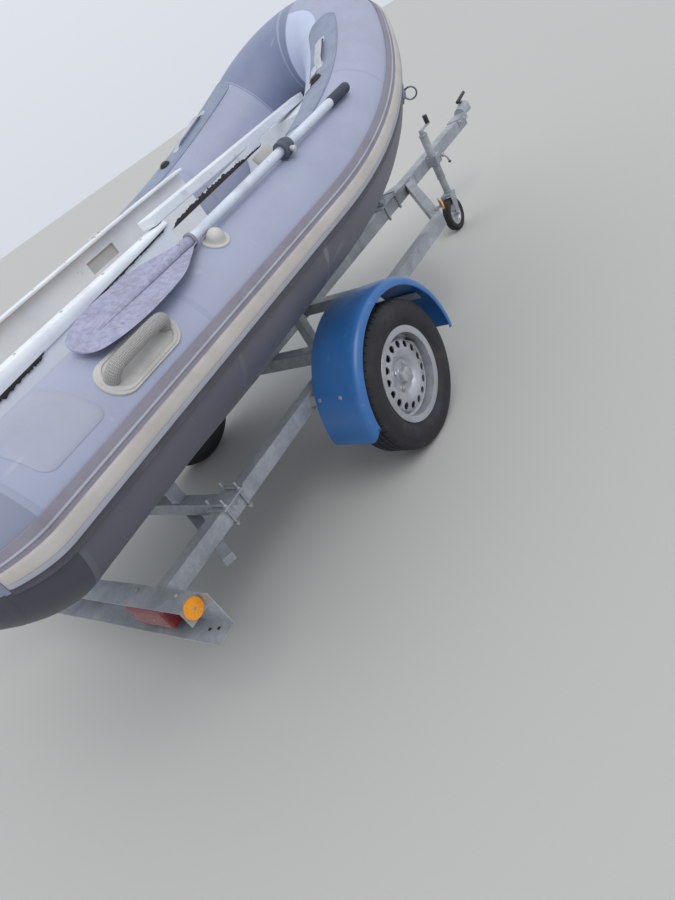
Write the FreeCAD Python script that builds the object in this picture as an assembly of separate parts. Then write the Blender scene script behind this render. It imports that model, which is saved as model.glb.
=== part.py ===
"""Inflatable boat with a rigid hull, parked on its single-axle road trailer.

Millimetres, +X forward to the coupling, +Y to port, +Z up. The trailer is drawn with x = 0 at the
wheel axle and z = 0 on the ground. The boat is drawn level, with z = 0 on the axis of its side tubes,
then tipped bow-up onto the trailer. At the end everything moves so that the origin is the bottom
centre of the whole.
"""
import math
import os

import FreeCAD
import Part
from FreeCAD import Vector

# Running gap between pieces that seat on one another
SEAT = 0.3

# Boat tubes
TUBE_R = 207.0
TUBE_Y = 610.0
BEND_X = 17.0
BOW_LENGTH = 1446.0
BOW_RISE = 318.0
NOSE_TANGENT = 213.0
STERN_X = -1327.0
BOAT_PITCH_DEG = 1.95
BOAT_AXIS_Z = 943.0
TUBE_CLEARANCE = 0.5
TUBE_INNER_Y = TUBE_Y - TUBE_R

# Stern cones: distance behind the tube, drop of the radius, outward shift, lift
CONE_SECTIONS = (
    (0.0, 0.0, 0.0, 0.0),
    (50.0, 6.0, 2.0, 3.0),
    (100.0, 21.0, 6.0, 12.0),
    (148.0, 43.0, 10.0, 24.0),
    (192.0, 70.0, 14.0, 38.0),
    (230.0, 99.0, 17.0, 51.0),
    (262.0, 130.0, 20.0, 62.0),
)

# Rub strake on the outside of the tubes, angles from straight up
STRAKE_LIP_FROM = 74.0
STRAKE_LIP_TO = 103.0
STRAKE_LIP_T = 7.0
STRAKE_RIB_FROM = 79.5
STRAKE_RIB_TO = 97.5
STRAKE_RIB_T = 18.0
STRAKE_TAIL_SECTIONS = 4

# Rigid hull stations: x, keel z, chine y, chine z, side y, side top z, deck edge y, deck z
HULL_STATIONS = (
    (-1200.0, -365.0, 500.0, -235.0, 500.0, -130.0, 410.0, -190.0),
    (0.0, -365.0, 500.0, -235.0, 500.0, -130.0, 410.0, -190.0),
    (500.0, -355.0, 455.0, -205.0, 459.0, -97.0, 369.0, -190.0),
    (850.0, -315.0, 370.0, -140.0, 376.0, -31.0, 286.0, -110.0),
    (1100.0, -225.0, 280.0, -65.0, 285.0, 42.0, 195.0, 0.0),
    (1270.0, -110.0, 190.0, 15.0, 205.0, 106.0, 120.0, 80.0),
    (1390.0, 60.0, 70.0, 100.0, 90.0, 150.0, 30.0, 140.0),
)
HULL_SIDE_T = 60.0
TRANSOM_T = 40.0
TRANSOM_TOP_Z = 120.0
TRANSOM_TOP_Y = TUBE_INNER_Y - 8.0
PAD_W = 260.0
PAD_H = 190.0
PAD_T = 9.0
PAD_BELOW_TOP = 8.0
FLOOR_T = 6.0
FLOOR_HALF_W = 372.0
FLOOR_FRONT_X = 480.0
FLOOR_FRONT_HALF_W = 330.0
LOCKER_BACK_X = 935.0
LOCKER_FRONT_X = 1290.0
LOCKER_HALF_W = 330.0
LOCKER_TOP_Z = 165.0
LOCKER_SINK = 10.0

# Moulded side coamings inside the tubes: x and half breadth of the outer face along each
COAMING_Y = TUBE_INNER_Y - 15.0
COAMING_STARBOARD = ((-1200.0, COAMING_Y), (-250.0, COAMING_Y))
COAMING_PORT = ((-1200.0, COAMING_Y), (250.0, COAMING_Y), (580.0, COAMING_Y - 52.0))
COAMING_T = 12.0
COAMING_TOP_Z = 250.0
COAMING_FLANGE = 46.0
SLOT_X = (-90.0, 80.0)
SLOT_Z = (140.0, 192.0)

# Loose long board that lies on the starboard coaming and the bow locker
BOARD_W = 62.0
BOARD_T = 34.0
BOARD_BACK = (-300.0, 26.0 - COAMING_Y)
BOARD_FRONT = (1235.0, 20.0)

# Tube fittings: x, angle from straight up
HANDLE_X = -880.0
HANDLE_ANGLE = 50.0
HANDLE_BASE_L = 275.0
HANDLE_BASE_W = 112.0
HANDLE_BAR_R = 19.0
HANDLE_BAR_L = 205.0
HANDLE_RISE = 50.0
HANDLE_BEND_R = 30.0
HANDLE_STEP = 12.0
HANDLE_LIP_H = 6.0
HANDLE_STEP_H = 9.0
HANDLE_POCKET_H = 5.0
FITTING_SINK = 10.0
OARLOCK_X = 160.0
OARLOCK_ANGLE = -17.0
OARLOCK_L = 92.0
OARLOCK_W = 46.0
OARLOCK_H = 36.0
OARLOCK_BORE_R = 6.5
OARLOCK_BORE_L = 26.0
OARLOCK_BORE_PITCH = 42.0
HOLDER_X = -415.0
HOLDER_ANGLE = 31.0
HOLDER_BASE_R = 40.0
HOLDER_BASE_H = 6.0
HOLDER_DOME_R = 27.0
HOLDER_DOME_Z = 10.0

# Oar stowed along the top of the starboard tube
OAR_R = 16.0
OAR_OUT = 84.0
OAR_SLOPE = (-3.5, 2.5)
OAR_GRIP_R = 19.0
OAR_GRIP_L = 125.0
OAR_COLLAR_R = 30.0
OAR_COLLAR_L = 52.0
OAR_COLLAR_AT = 0.615
OAR_KNOB_R = 9.0
OAR_KNOB_L = 14.0
OAR_Z = math.sqrt((TUBE_R + SEAT + OAR_COLLAR_R) ** 2 - OAR_OUT ** 2)
OAR_AFT = (-468.0, -TUBE_Y - OAR_OUT, OAR_Z + OAR_SLOPE[0])
OAR_FORE = (415.0, -TUBE_Y - OAR_OUT, OAR_Z + OAR_SLOPE[1])
BLADE_L = 492.0
BLADE_W = 196.0
BLADE_T = 7.0
BLADE_NECK_L = 10.0
BLADE_NECK_W = 44.0
SPINE_R = (22.0, 6.0)
SPINE_L = 400.0
SOCKET_L = 12.0

# Half outline of the oar blade behind the shaft: share of the length, share of the half breadth
BLADE_SHOULDER = ((0.15, 0.52), (0.30, 0.84))
BLADE_SIDE = ((0.66, 1.0), (0.955, 0.64))

# Patches, handles and valves on the bow
PATCH_FROM_DEG = 8.0
PATCH_TO_DEG = 33.0
PATCH_ANGLES = (-27.0, 15.0)
PATCH_T = 2.5
BOW_HANDLE_AT = (21.5, 27.5)
BOW_HANDLE_ANGLE = -7.0
BOW_HANDLE_W = 32.0
BOW_HANDLE_RISE = 16.0
BOW_HANDLE_T = 4.0
BOW_HANDLE_FOOT_DEG = 0.7
VALVE_AT = 18.6
VALVE_ANGLE = -8.0
VALVE_R = 26.0
VALVE_H = 9.0
VALVE_CAP_H = 5.0
RING_AT = 23.0
RING_ANGLE = 115.0
RING_R = 26.0
RING_WIRE_R = 4.0
RING_PATCH_R = 38.0
RING_PATCH_H = 6.0

# Trailer frame
RAIL_Y = 551.0
RAIL_W = 50.0
RAIL_H = 60.0
RAIL_TOP_Z = 463.0
RAIL_REAR_X = -1152.0
RAIL_BEND_X = 1033.0
RAIL_MEET_X = 1815.0
RAIL_WALL = 3.0
DRAWBAR_W = 70.0
DRAWBAR_H = 70.0
DRAWBAR_WALL = 4.0
DRAWBAR_FRONT_X = 2690.0
DRAWBAR_TOP_Z = RAIL_TOP_Z - RAIL_H + DRAWBAR_H
CROSS_W = 50.0
REAR_CROSS_X = -810.0
FRONT_CROSS_X = 450.0
BRACE_W = 40.0
BRACE_H = 28.0
BRACE_IN = (-690.0, 60.0)
BRACE_OUT = (-985.0, 625.0)
CLAMP_PLATE_HALF_L = 55.0
CLAMP_PLATE_HALF_W = 45.0
CLAMP_PLATE_T = 6.0
CLAMP_BOLT_X = 38.0
CLAMP_BOLT_BELOW = 14.0

# Axle, wheels and mudguards
AXLE_X = 125.0
AXLE_SQ = 60.0
AXLE_HALF_L = 560.0
AXLE_PLATE_HALF_L = 75.0
AXLE_PLATE_T = 8.0
WHEEL_Z = 283.0
WHEEL_Y = 700.0
TYRE_W = 155.0
TYRE_SHOULDER = 22.0
TYRE_WALL = 9.0
BEAD_GAP = 3.0
RIM_FLANGE_R = 182.0
RIM_SEAT_R = 165.0
RIM_WIDTH = 114.0
RIM_SHEET = 4.0
RIM_HOLES = 16
RIM_HOLE_R = 11.0
RIM_HOLE_PCR = 118.0
HUB_R = 52.0
WHEEL_BOLTS = 4
WHEEL_BOLT_R = 9.0
WHEEL_BOLT_PCR = 49.0
WHEEL_BOLT_Y = (20.0, 36.0)
SPINDLE_R = 17.0
SPINDLE_CLEAR = 0.05
ARM_T = 28.0
ARM_INNER_Y = 564.0
ARM_ROOT_R = 34.0
ARM_TIP_R = 26.0
TORSION_BAR_R = 24.0
GUARD_R = 352.0
GUARD_T = 4.0
GUARD_INNER_Y = 580.0
GUARD_OUTER_Y = 792.0
GUARD_ANGLE_FROM = -4.0
GUARD_ANGLE_TO = 184.0
GUARD_CROWN = 8.0
GUARD_LIP_DROP = 24.0
GUARD_LIP_FROM = 44.0
STAY_ANGLE = 26.5
STAY_W = 38.0
STAY_T = 5.0
STAY_SHORT = 60.0

# Half section of the tyre from the bead up: height above the bead seat, step out from the bead
BEAD_TOE = ((0.0, 0.0), (22.0, 3.0))

# Shoulder of the tyre, in shoulder sizes: drop below the crown, inset from the full width
TYRE_SHOULDER_AT = ((1.0, 0.35), (0.25, 0.75), (0.0, 1.6))

# Inside of the tyre near the bead: height above the bead seat, step in from the bead
BEAD_INSIDE = ((26.0, 8.0), (0.0, 14.0))

# Inside of the crown, in wall thicknesses: drop below the crown, inset from the full width
CROWN_INSIDE = (2.0, 2.2)

# Barrel of the rim: drop below the bead seat, edge it is measured from, inset from that edge
RIM_LIP = RIM_SEAT_R - RIM_FLANGE_R
RIM_STEP = RIM_SHEET + 4.0
RIM_BARREL = (
    (RIM_SHEET, -1, 2.0),
    (RIM_LIP, -1, -1.0),
    (RIM_LIP, -1, -5.0),
    (RIM_STEP, -1, -5.0),
    (RIM_STEP, -1, 22.0),
    (24.0, -1, 32.0),
    (24.0, 1, 46.0),
    (RIM_STEP, 1, 36.0),
    (RIM_STEP, 1, -5.0),
    (RIM_LIP, 1, -5.0),
    (RIM_LIP, 1, -1.0),
    (SEAT, 1, 2.0),
    (SEAT, 1, 34.0),
    (20.0, 1, 44.0),
    (20.0, -1, 30.0),
    (SEAT, -1, 20.0),
    (SEAT, -1, 2.0),
)

# Dished disc of the rim: radius, distance outboard of the wheel's middle
RIM_DISC = (
    (HUB_R - 18.0, 22.0),
    (60.0, 22.0),
    (72.0, 34.0),
    (96.0, 40.0),
    (132.0, 34.0),
    (142.0, 22.0),
    (142.0, -6.0),
    (137.0, -6.0),
    (137.0, 19.0),
    (130.0, 29.0),
    (96.0, 35.0),
    (74.0, 29.0),
    (62.0, 17.0),
    (HUB_R - 18.0, 17.0),
)

# Hub with its grease cap: radius, distance outboard of the wheel's middle
HUB_OUTLINE = (
    (SPINDLE_R + SPINDLE_CLEAR, -62.0),
    (HUB_R, -62.0),
    (HUB_R, 17.0),
    (HUB_R - 16.0, 17.0),
    (HUB_R - 16.0, 30.0),
    (HUB_R - 22.0, 46.0),
    (8.0, 50.0),
    (0.0, 50.0),
    (0.0, 14.0),
    (SPINDLE_R + SPINDLE_CLEAR, 14.0),
)

# Light board
BOARD_HALF_L = 735.0
BOARD_TOP_HALF_L = 686.0
LIGHT_BOARD_H = 133.0
LIGHT_BOARD_D = 75.0
LIGHT_BOARD_T = 3.0
BOARD_TAB_H = 60.0
LAMP_L = 196.0
LAMP_H = 84.0
LAMP_D = 66.0
LAMP_CORNER_R = 18.0
LAMP_END_GAP = 120.0
SIDE_REFLECTOR_R = 32.0
SIDE_REFLECTOR_T = 7.0
SIDE_REFLECTOR_ABOVE = 8.0
OVAL_REFLECTOR_L = 94.0
OVAL_REFLECTOR_H = 44.0
OVAL_REFLECTOR_T = 8.0
OVAL_REFLECTOR_TURN_DEG = -35.0
OVAL_REFLECTOR_OFF = 14.0
BRACKET_X = RAIL_BEND_X + 75.0
BRACKET_HALF_W = 20.0
BRACKET_T = 4.0
BRACKET_FOOT_L = 34.0
BRACKET_TOP = 24.0

# Coupling
COUPLING_BALL_X = 2792.0
COUPLING_NOSE_R = 42.0
COUPLING_SHEET = 5.0
COUPLING_COVER_L = 130.0
COUPLING_COVER_H = 40.0
COUPLING_NECK_L = 24.0
COUPLING_THROAT_R = 38.0
COUPLING_SKIRT_H = 26.0
BALL_ABOVE_BAR = 10.0
BALL_R = 25.0
LEVER_R = 11.0
LEVER_L = 96.0
LEVER_BACK_L = 40.0

# Jockey wheel
JOCKEY_X = 2030.0
JOCKEY_TUBE_R = 24.0
JOCKEY_STEM_R = 21.0
JOCKEY_GAP = 0.3
JOCKEY_TUBE_Z = (320.0, 600.0)
JOCKEY_STEM_Z = (224.0, 498.0)
JOCKEY_TUBE_CAP = 6.0
JOCKEY_WHEEL_R = 100.0
JOCKEY_WHEEL_W = 50.0
JOCKEY_SEAT_R = 66.0
JOCKEY_TRAIL = 42.0
CROWN_T = 16.0
CROWN_BACK = 46.0
CROWN_AHEAD = 26.0
FORK_SHEET = 5.0
SWIVEL_PIN_R = 8.0
SWIVEL_PIN_L = 13.0
JOCKEY_AXLE_R = 6.0
CRANK_ARM_L = 108.0
CRANK_ARM_HALF_W = 11.0
CRANK_ARM_Z = (16.0, 24.0)
CRANK_HUB_R = 15.0
CRANK_KNOB_R = 13.0
CRANK_KNOB_Z = (20.0, 74.0)
JOCKEY_CLAMP_WALL = 10.0
JOCKEY_CLAMP_HALF_H = 28.0
JOCKEY_BOLT_R = 6.0
JOCKEY_BOLT_OUT = 16.0
JOCKEY_Y = -(DRAWBAR_W / 2 + 8 + JOCKEY_TUBE_R)

# Supports under the hull
ROLLER_R = 34.0
ROLLER_L = 120.0
ROLLER_WAIST = 12.0
ROLLER_BORE_R = 6.0
ROLLER_PIN_R = 5.7
ROLLER_BITE = 10.0
ROLLER_LAND = 12.0
EAR_T = 5.0
EAR_HALF_L = 18.0
EAR_ABOVE_PIN = 14.0
EAR_CLEAR = 3.0
ROLLER_XS = (REAR_CROSS_X, 20.0, 820.0)
BRACKET_HALF_L = CROSS_W / 2 - 1
BUNK_Y = 285.0
BUNK_X = (-930.0, 205.0)
BUNK_W = 70.0
BUNK_H = 42.0
POST_SQ = 40.0
SUPPORT_BASE_X = 1460.0
SUPPORT_HEAD_X = 1215.0
SUPPORT_HEAD_BELOW = 62.0
SUPPORT_SQ = 40.0
SUPPORT_PLATE_HALF_L = 110.0
SUPPORT_PLATE_OVER = 14.0
SUPPORT_PLATE_T = 8.0
SUPPORT_BOLT_TOP = 14.0
SUPPORT_BOLT_BELOW = 12.0
U_BOLT_SPACING = 144.0
U_BOLT_R = 5.0


def box(x_range, y_range, z_range):
    """Block between three pairs of coordinates."""
    low = Vector(x_range[0], y_range[0], z_range[0])
    return Part.makeBox(x_range[1] - x_range[0], y_range[1] - y_range[0], z_range[1] - z_range[0], low)


def rod(radius, start, end):
    """Round bar from start to end."""
    run = Vector(*end) - Vector(*start)
    return Part.makeCylinder(radius, run.Length, Vector(*start), run)


def fuse(shapes):
    """One shape from several that touch or overlap."""
    shapes = list(shapes)
    joined = shapes[0].fuse(shapes[1:]) if len(shapes) > 1 else shapes[0]
    return joined.removeSplitter()


def mirror_y(shape):
    """The same piece on the other side of the centre plane."""
    return shape.mirror(Vector(0, 0, 0), Vector(0, 1, 0))


def pair(shape):
    """A port piece with its starboard twin, as one compound."""
    return Part.makeCompound(shape.Solids + mirror_y(shape).Solids)


def prism(points, thickness_vector):
    """Polygon of 3-D points pushed along a vector."""
    corners = [Vector(*point) for point in points]
    wire = Part.makePolygon(corners + [corners[0]])
    return Part.Face(wire).extrude(thickness_vector)


def tri_arc(first, middle, last):
    """Arc edge through three points."""
    return Part.Arc(Vector(*first), Vector(*middle), Vector(*last)).toShape()


def line(first, last):
    return Part.makeLine(Vector(*first), Vector(*last))


class Arc3:
    """One planar arc of the tube axis, from a start point and tangent to an end point and tangent."""

    def __init__(self, start, tangent, end, end_tangent):
        self.start = start
        turn = tangent.getAngle(end_tangent)
        self.axis = tangent.cross(end_tangent).normalize()
        self.radius = end.sub(start).Length / (2 * math.sin(turn / 2))
        self.centre = start + self.axis.cross(tangent) * self.radius
        self.degrees = math.degrees(turn)

    def sweep(self, face, start_deg=0.0, end_deg=None):
        """Solid that a section at the arc's start makes between two angles along it."""
        end_deg = self.degrees if end_deg is None else end_deg
        return self.carry(face, start_deg).revolve(self.centre, self.axis, end_deg - start_deg)

    def carry(self, shape, degrees=None):
        """A shape at the arc's start, moved along the arc."""
        moved = shape.copy()
        moved.rotate(self.centre, self.axis, self.degrees if degrees is None else degrees)
        return moved


def bow_arcs():
    """Two tangent arcs from the end of the straight port tube to the nose on the centre plane."""
    start = Vector(BEND_X, TUBE_Y, 0)
    nose = Vector(BEND_X + BOW_LENGTH, 0, BOW_RISE)
    ahead = Vector(1, 0, 0)
    across = Vector(0, -1, 0)
    span = nose - start
    shoulder = (span.dot(span) - 2 * NOSE_TANGENT * span.dot(across)) / (
        2 * span.dot(ahead) + 2 * NOSE_TANGENT)
    first_control = start + ahead * shoulder
    last_control = nose - across * NOSE_TANGENT
    joint = (first_control * NOSE_TANGENT + last_control * shoulder) * (1 / (shoulder + NOSE_TANGENT))
    joint_tangent = (last_control - first_control).normalize()
    return Arc3(start, ahead, joint, joint_tangent), Arc3(joint, joint_tangent, nose, across)


SHOULDER, NOSE = bow_arcs()


def section_point(angle_deg, radius):
    """Point of the port tube's section at the bend, the angle from straight up towards outboard."""
    angle = math.radians(angle_deg)
    return (BEND_X, TUBE_Y + radius * math.sin(angle), radius * math.cos(angle))


def sector_face(radius_in, radius_out, angle_from, angle_to):
    """Ring sector in the plane of the tube's section at the bend."""
    middle = (angle_from + angle_to) / 2
    edges = (
        tri_arc(section_point(angle_from, radius_in), section_point(middle, radius_in),
                section_point(angle_to, radius_in)),
        line(section_point(angle_to, radius_in), section_point(angle_to, radius_out)),
        tri_arc(section_point(angle_to, radius_out), section_point(middle, radius_out),
                section_point(angle_from, radius_out)),
        line(section_point(angle_from, radius_out), section_point(angle_from, radius_in)),
    )
    return Part.Face(Part.Wire(edges))


def tube_section(radius):
    return Part.Face(Part.Wire(Part.makeCircle(radius, Vector(BEND_X, TUBE_Y, 0), Vector(1, 0, 0))))


def side_tube(radius, back_x):
    """Straight run and shoulder bend of the port tube."""
    straight = Part.makeCylinder(radius, BEND_X - back_x, Vector(back_x, TUBE_Y, 0), Vector(1, 0, 0))
    return fuse([straight, SHOULDER.sweep(tube_section(radius))])


def nose_tube(radius):
    """The bow chamber, bent round the nose."""
    half = NOSE.sweep(SHOULDER.carry(tube_section(radius)))
    return fuse([half, mirror_y(half)])


def tube_frame(x, angle_deg, radius=TUBE_R):
    """Placement on the straight port tube: local z out of the skin, local x forward."""
    tilt = FreeCAD.Rotation(Vector(1, 0, 0), -angle_deg)
    return FreeCAD.Placement(Vector(x, TUBE_Y, 0), tilt).multiply(
        FreeCAD.Placement(Vector(0, 0, radius), FreeCAD.Rotation()))


def on_tube(shape, x, angle_deg):
    """Move a piece drawn at the origin, z outward, onto the straight port tube."""
    placed = shape.copy()
    placed.Placement = tube_frame(x, angle_deg).multiply(placed.Placement)
    return placed


def on_shoulder(shape, along_deg, angle_deg):
    """Move a piece drawn at the origin, z outward, onto the shoulder bend."""
    return SHOULDER.carry(on_tube(shape, BEND_X, angle_deg), along_deg)


def stadium(length, width, height, z=0.0):
    """Flat plate with half-round ends, long side along x."""
    half = length / 2 - width / 2
    r = width / 2
    edges = (
        line((-half, -r, z), (half, -r, z)),
        tri_arc((half, -r, z), (half + r, 0, z), (half, r, z)),
        line((half, r, z), (-half, r, z)),
        tri_arc((-half, r, z), (-half - r, 0, z), (-half, -r, z)),
    )
    return Part.Face(Part.Wire(edges)).extrude(Vector(0, 0, height))


def tube_cutter():
    """The tubes with a little clearance, to trim what fits against them."""
    radius = TUBE_R + TUBE_CLEARANCE
    side = side_tube(radius, STERN_X - 10)
    return [side, mirror_y(side), nose_tube(radius)]


def stern_cone():
    """Tapered, upswept end of the port tube."""
    rings = []
    for back, drop, outward, lift in CONE_SECTIONS:
        centre = Vector(STERN_X - back, TUBE_Y + outward, lift)
        rings.append(Part.Wire(Part.makeCircle(TUBE_R - drop, centre, Vector(1, 0, 0))))
    return Part.makeLoft(rings, True, True)


def strake_wire(radius=TUBE_R, shift=(0.0, 0.0, 0.0)):
    """Section of the rub strake, a thin lip on each side of a thick rib, seated on a round section."""
    base = radius + SEAT
    lip = radius + STRAKE_LIP_T
    rib = radius + STRAKE_RIB_T
    corners = (
        (base, STRAKE_LIP_TO, STRAKE_LIP_FROM),
        (lip, STRAKE_LIP_FROM, STRAKE_RIB_FROM),
        (rib, STRAKE_RIB_FROM, STRAKE_RIB_TO),
        (lip, STRAKE_RIB_TO, STRAKE_LIP_TO),
    )
    edges = []
    for index, (radius, start, end) in enumerate(corners):
        following = corners[(index + 1) % len(corners)]
        edges.append(tri_arc(section_point(start, radius), section_point((start + end) / 2, radius),
                             section_point(end, radius)))
        edges.append(line(section_point(end, radius), section_point(following[1], following[0])))
    wire = Part.Wire(edges)
    wire.translate(Vector(*shift))
    return wire


def rub_strake():
    """Moulded strake round the whole boat, run out along the stern cones."""
    face = Part.Face(strake_wire())
    tail = []
    for back, drop, outward, lift in CONE_SECTIONS[:STRAKE_TAIL_SECTIONS]:
        tail.append(strake_wire(TUBE_R - drop, (STERN_X - back - BEND_X, outward, lift)))
    half = [
        Part.makeLoft(tail, True, True),
        face.extrude(Vector(STERN_X - BEND_X, 0, 0)),
        SHOULDER.sweep(face),
        NOSE.sweep(SHOULDER.carry(face)),
    ]
    return half[0].fuse(half[1:] + [mirror_y(piece) for piece in half])


def hull_wire(station):
    x, keel_z, chine_y, chine_z, side_y, side_z, deck_y, deck_z = station
    side = [(chine_y, chine_z), (side_y, side_z), (side_y - HULL_SIDE_T, side_z), (deck_y, deck_z)]
    corners = [Vector(x, 0, keel_z)] + [Vector(x, y, z) for y, z in side]
    corners += [Vector(x, -y, z) for y, z in reversed(side)]
    return Part.makePolygon(corners + [corners[0]])


def hull_solid(cutters):
    """Vee-bottomed moulding between the tubes."""
    shell = Part.makeLoft([hull_wire(station) for station in HULL_STATIONS], True, True)
    return shell.cut(cutters)


def largest(shape):
    """The main solid of a cut, without loose slivers."""
    return max(shape.Solids, key=lambda solid: solid.Volume)


def transom_solid(cutters):
    """Stern board that closes the hull between the tubes."""
    x, keel_z, chine_y, chine_z, side_y, side_z, _, _ = HULL_STATIONS[0]
    side = [(chine_y, chine_z), (side_y, side_z), (side_y, 0), (TRANSOM_TOP_Y, TRANSOM_TOP_Z)]
    points = [(x, 0, keel_z)] + [(x, y, z) for y, z in side] + [(x, -y, z) for y, z in reversed(side)]
    return largest(prism(points, Vector(-TRANSOM_T, 0, 0)).cut(cutters))


def transom_pads():
    """Clamping plates for an outboard motor, one on each face of the transom."""
    face_x = HULL_STATIONS[0][0]
    top = TRANSOM_TOP_Z - PAD_BELOW_TOP
    z_range = (top - PAD_H, top)
    y_range = (-PAD_W / 2, PAD_W / 2)
    inner = box((face_x, face_x + PAD_T), y_range, z_range)
    outer = box((face_x - TRANSOM_T - PAD_T, face_x - TRANSOM_T), y_range, z_range)
    return Part.makeCompound([inner, outer])


def deck_floor():
    """Floor panel on the flat part of the hull's deck."""
    z = HULL_STATIONS[0][7]
    back_x = HULL_STATIONS[0][0]
    points = [
        (back_x, -FLOOR_HALF_W, z),
        (0, -FLOOR_HALF_W, z),
        (FLOOR_FRONT_X, -FLOOR_FRONT_HALF_W, z),
        (FLOOR_FRONT_X, FLOOR_FRONT_HALF_W, z),
        (0, FLOOR_HALF_W, z),
        (back_x, FLOOR_HALF_W, z),
    ]
    return prism(points, Vector(0, 0, FLOOR_T))


def bow_locker(hull, cutters):
    """Moulded locker that fills the bow between the tubes."""
    low = HULL_STATIONS[0][7] - LOCKER_SINK
    block = box((LOCKER_BACK_X, LOCKER_FRONT_X), (-LOCKER_HALF_W, LOCKER_HALF_W), (low, LOCKER_TOP_Z))
    return largest(block.cut([hull] + list(cutters)))


def along_wall(route, thickness, low, high):
    """Upright wall whose outer face follows a route of x and y, its thickness inboard."""
    outer = [(x, y, low) for x, y in route]
    inner = [(x, y - thickness, low) for x, y in reversed(route)]
    return prism(outer + inner, Vector(0, 0, high - low))


def coaming(route, slot, hull):
    """Moulded side wall with a turned-in top flange, port side, trimmed to the rising deck."""
    wall = along_wall(route, COAMING_T, HULL_STATIONS[0][7], COAMING_TOP_Z)
    flange = along_wall(route, COAMING_FLANGE, COAMING_TOP_Z - COAMING_T, COAMING_TOP_Z)
    walls = fuse([wall, flange])
    if slot:
        walls = walls.cut(box(SLOT_X, (COAMING_Y - COAMING_T - 1, COAMING_Y + 1), SLOT_Z))
    return largest(walls.cut(hull))


def long_board():
    """Narrow board from the starboard coaming to the bow locker."""
    rest_z = COAMING_TOP_Z + SEAT
    front_z = LOCKER_TOP_Z + SEAT
    rest_x = COAMING_STARBOARD[-1][0]
    slope = (rest_z - front_z) / (BOARD_FRONT[0] - rest_x)
    start = Vector(BOARD_BACK[0], BOARD_BACK[1], rest_z + slope * (rest_x - BOARD_BACK[0]))
    end = Vector(BOARD_FRONT[0], BOARD_FRONT[1], front_z)
    run = end - start
    side = Vector(-run.y, run.x, 0).normalize() * (BOARD_W / 2)
    points = [tuple(start - side), tuple(end - side), tuple(end + side), tuple(start + side)]
    return prism(points, Vector(0, 0, BOARD_T))


def lifting_handle():
    """Moulded carrying handle: stepped oval base with a pocket, and a round bar bent down into it."""
    def plate(step, height):
        inset = 2 * step * HANDLE_STEP
        return stadium(HANDLE_BASE_L - inset, HANDLE_BASE_W - inset, height + FITTING_SINK, -FITTING_SINK)

    base = fuse([plate(0, HANDLE_LIP_H), plate(1, HANDLE_STEP_H)])
    pocket = plate(2, HANDLE_STEP_H + 1).cut(plate(2, HANDLE_POCKET_H))
    half = HANDLE_BAR_L / 2
    bend_x = half - HANDLE_BEND_R
    bend_z = HANDLE_RISE - HANDLE_BEND_R
    bar = rod(HANDLE_BAR_R, (-bend_x, 0, HANDLE_RISE), (bend_x, 0, HANDLE_RISE))
    ring = Part.makeCircle(HANDLE_BAR_R, Vector(bend_x, 0, HANDLE_RISE), Vector(1, 0, 0))
    bend = Part.Face(Part.Wire(ring)).revolve(Vector(bend_x, 0, bend_z), Vector(0, 1, 0), 90)
    post = rod(HANDLE_BAR_R, (half, 0, 0), (half, 0, bend_z))
    ends = [bend, post]
    ends += [piece.mirror(Vector(0, 0, 0), Vector(1, 0, 0)) for piece in ends]
    return fuse([base.cut(pocket), bar] + ends)


def seated(shape, x, angle_deg, cutter):
    """A fitting on the straight tube, its underside trimmed to the tube's curve."""
    return largest(on_tube(shape, x, angle_deg).cut(cutter))


def oarlock_block():
    """Block with two upright bores for the oar's pin."""
    body = stadium(OARLOCK_L, OARLOCK_W, OARLOCK_H + FITTING_SINK, -FITTING_SINK)
    for sign in (-1, 1):
        x = sign * OARLOCK_BORE_PITCH / 2
        body = body.cut(rod(OARLOCK_BORE_R, (x, 0, OARLOCK_H - OARLOCK_BORE_L), (x, 0, OARLOCK_H + 1)))
    return body


def oar_holder():
    """Round base with a half dome beside the oar's shaft."""
    base = Part.makeCylinder(HOLDER_BASE_R, HOLDER_BASE_H + FITTING_SINK, Vector(0, 0, -FITTING_SINK))
    reach = 2 * HOLDER_DOME_R
    dome = Part.makeSphere(HOLDER_DOME_R, Vector(0, 0, HOLDER_DOME_Z)).common(
        box((-reach, reach), (-reach, reach), (0, 2 * reach)))
    return fuse([base, dome])


def oar_points():
    """Ends of the shaft, its direction, and the directions across and out of the tube there."""
    aft = Vector(*OAR_AFT)
    fore = Vector(*OAR_FORE)
    run = (fore - aft).normalize()
    across = run.cross(Vector(0, aft.y + TUBE_Y, aft.z)).normalize()
    return aft, fore, run, across, across.cross(run)


def oar_shaft():
    return rod(OAR_R, OAR_AFT, OAR_FORE)


def oar_grip():
    _, fore, run, _, _ = oar_points()
    end = fore + run * OAR_GRIP_L
    return fuse([rod(OAR_GRIP_R, tuple(fore), tuple(end)), Part.makeSphere(OAR_GRIP_R, end)])


def oar_collar():
    """Collar clamped round the shaft, with the head of its pin on the outboard side."""
    aft, fore, run, across, _ = oar_points()
    middle = aft + (fore - aft) * OAR_COLLAR_AT
    start = middle - run * (OAR_COLLAR_L / 2)
    ring = Part.makeCylinder(OAR_COLLAR_R, OAR_COLLAR_L, start, run)
    ring = ring.cut(Part.makeCylinder(OAR_R + SEAT, OAR_COLLAR_L, start, run))
    knob_start = middle - across * (OAR_R + 2)
    knob_end = middle - across * (OAR_COLLAR_R + OAR_KNOB_L)
    return fuse([ring, rod(OAR_KNOB_R, tuple(knob_start), tuple(knob_end))])


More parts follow.
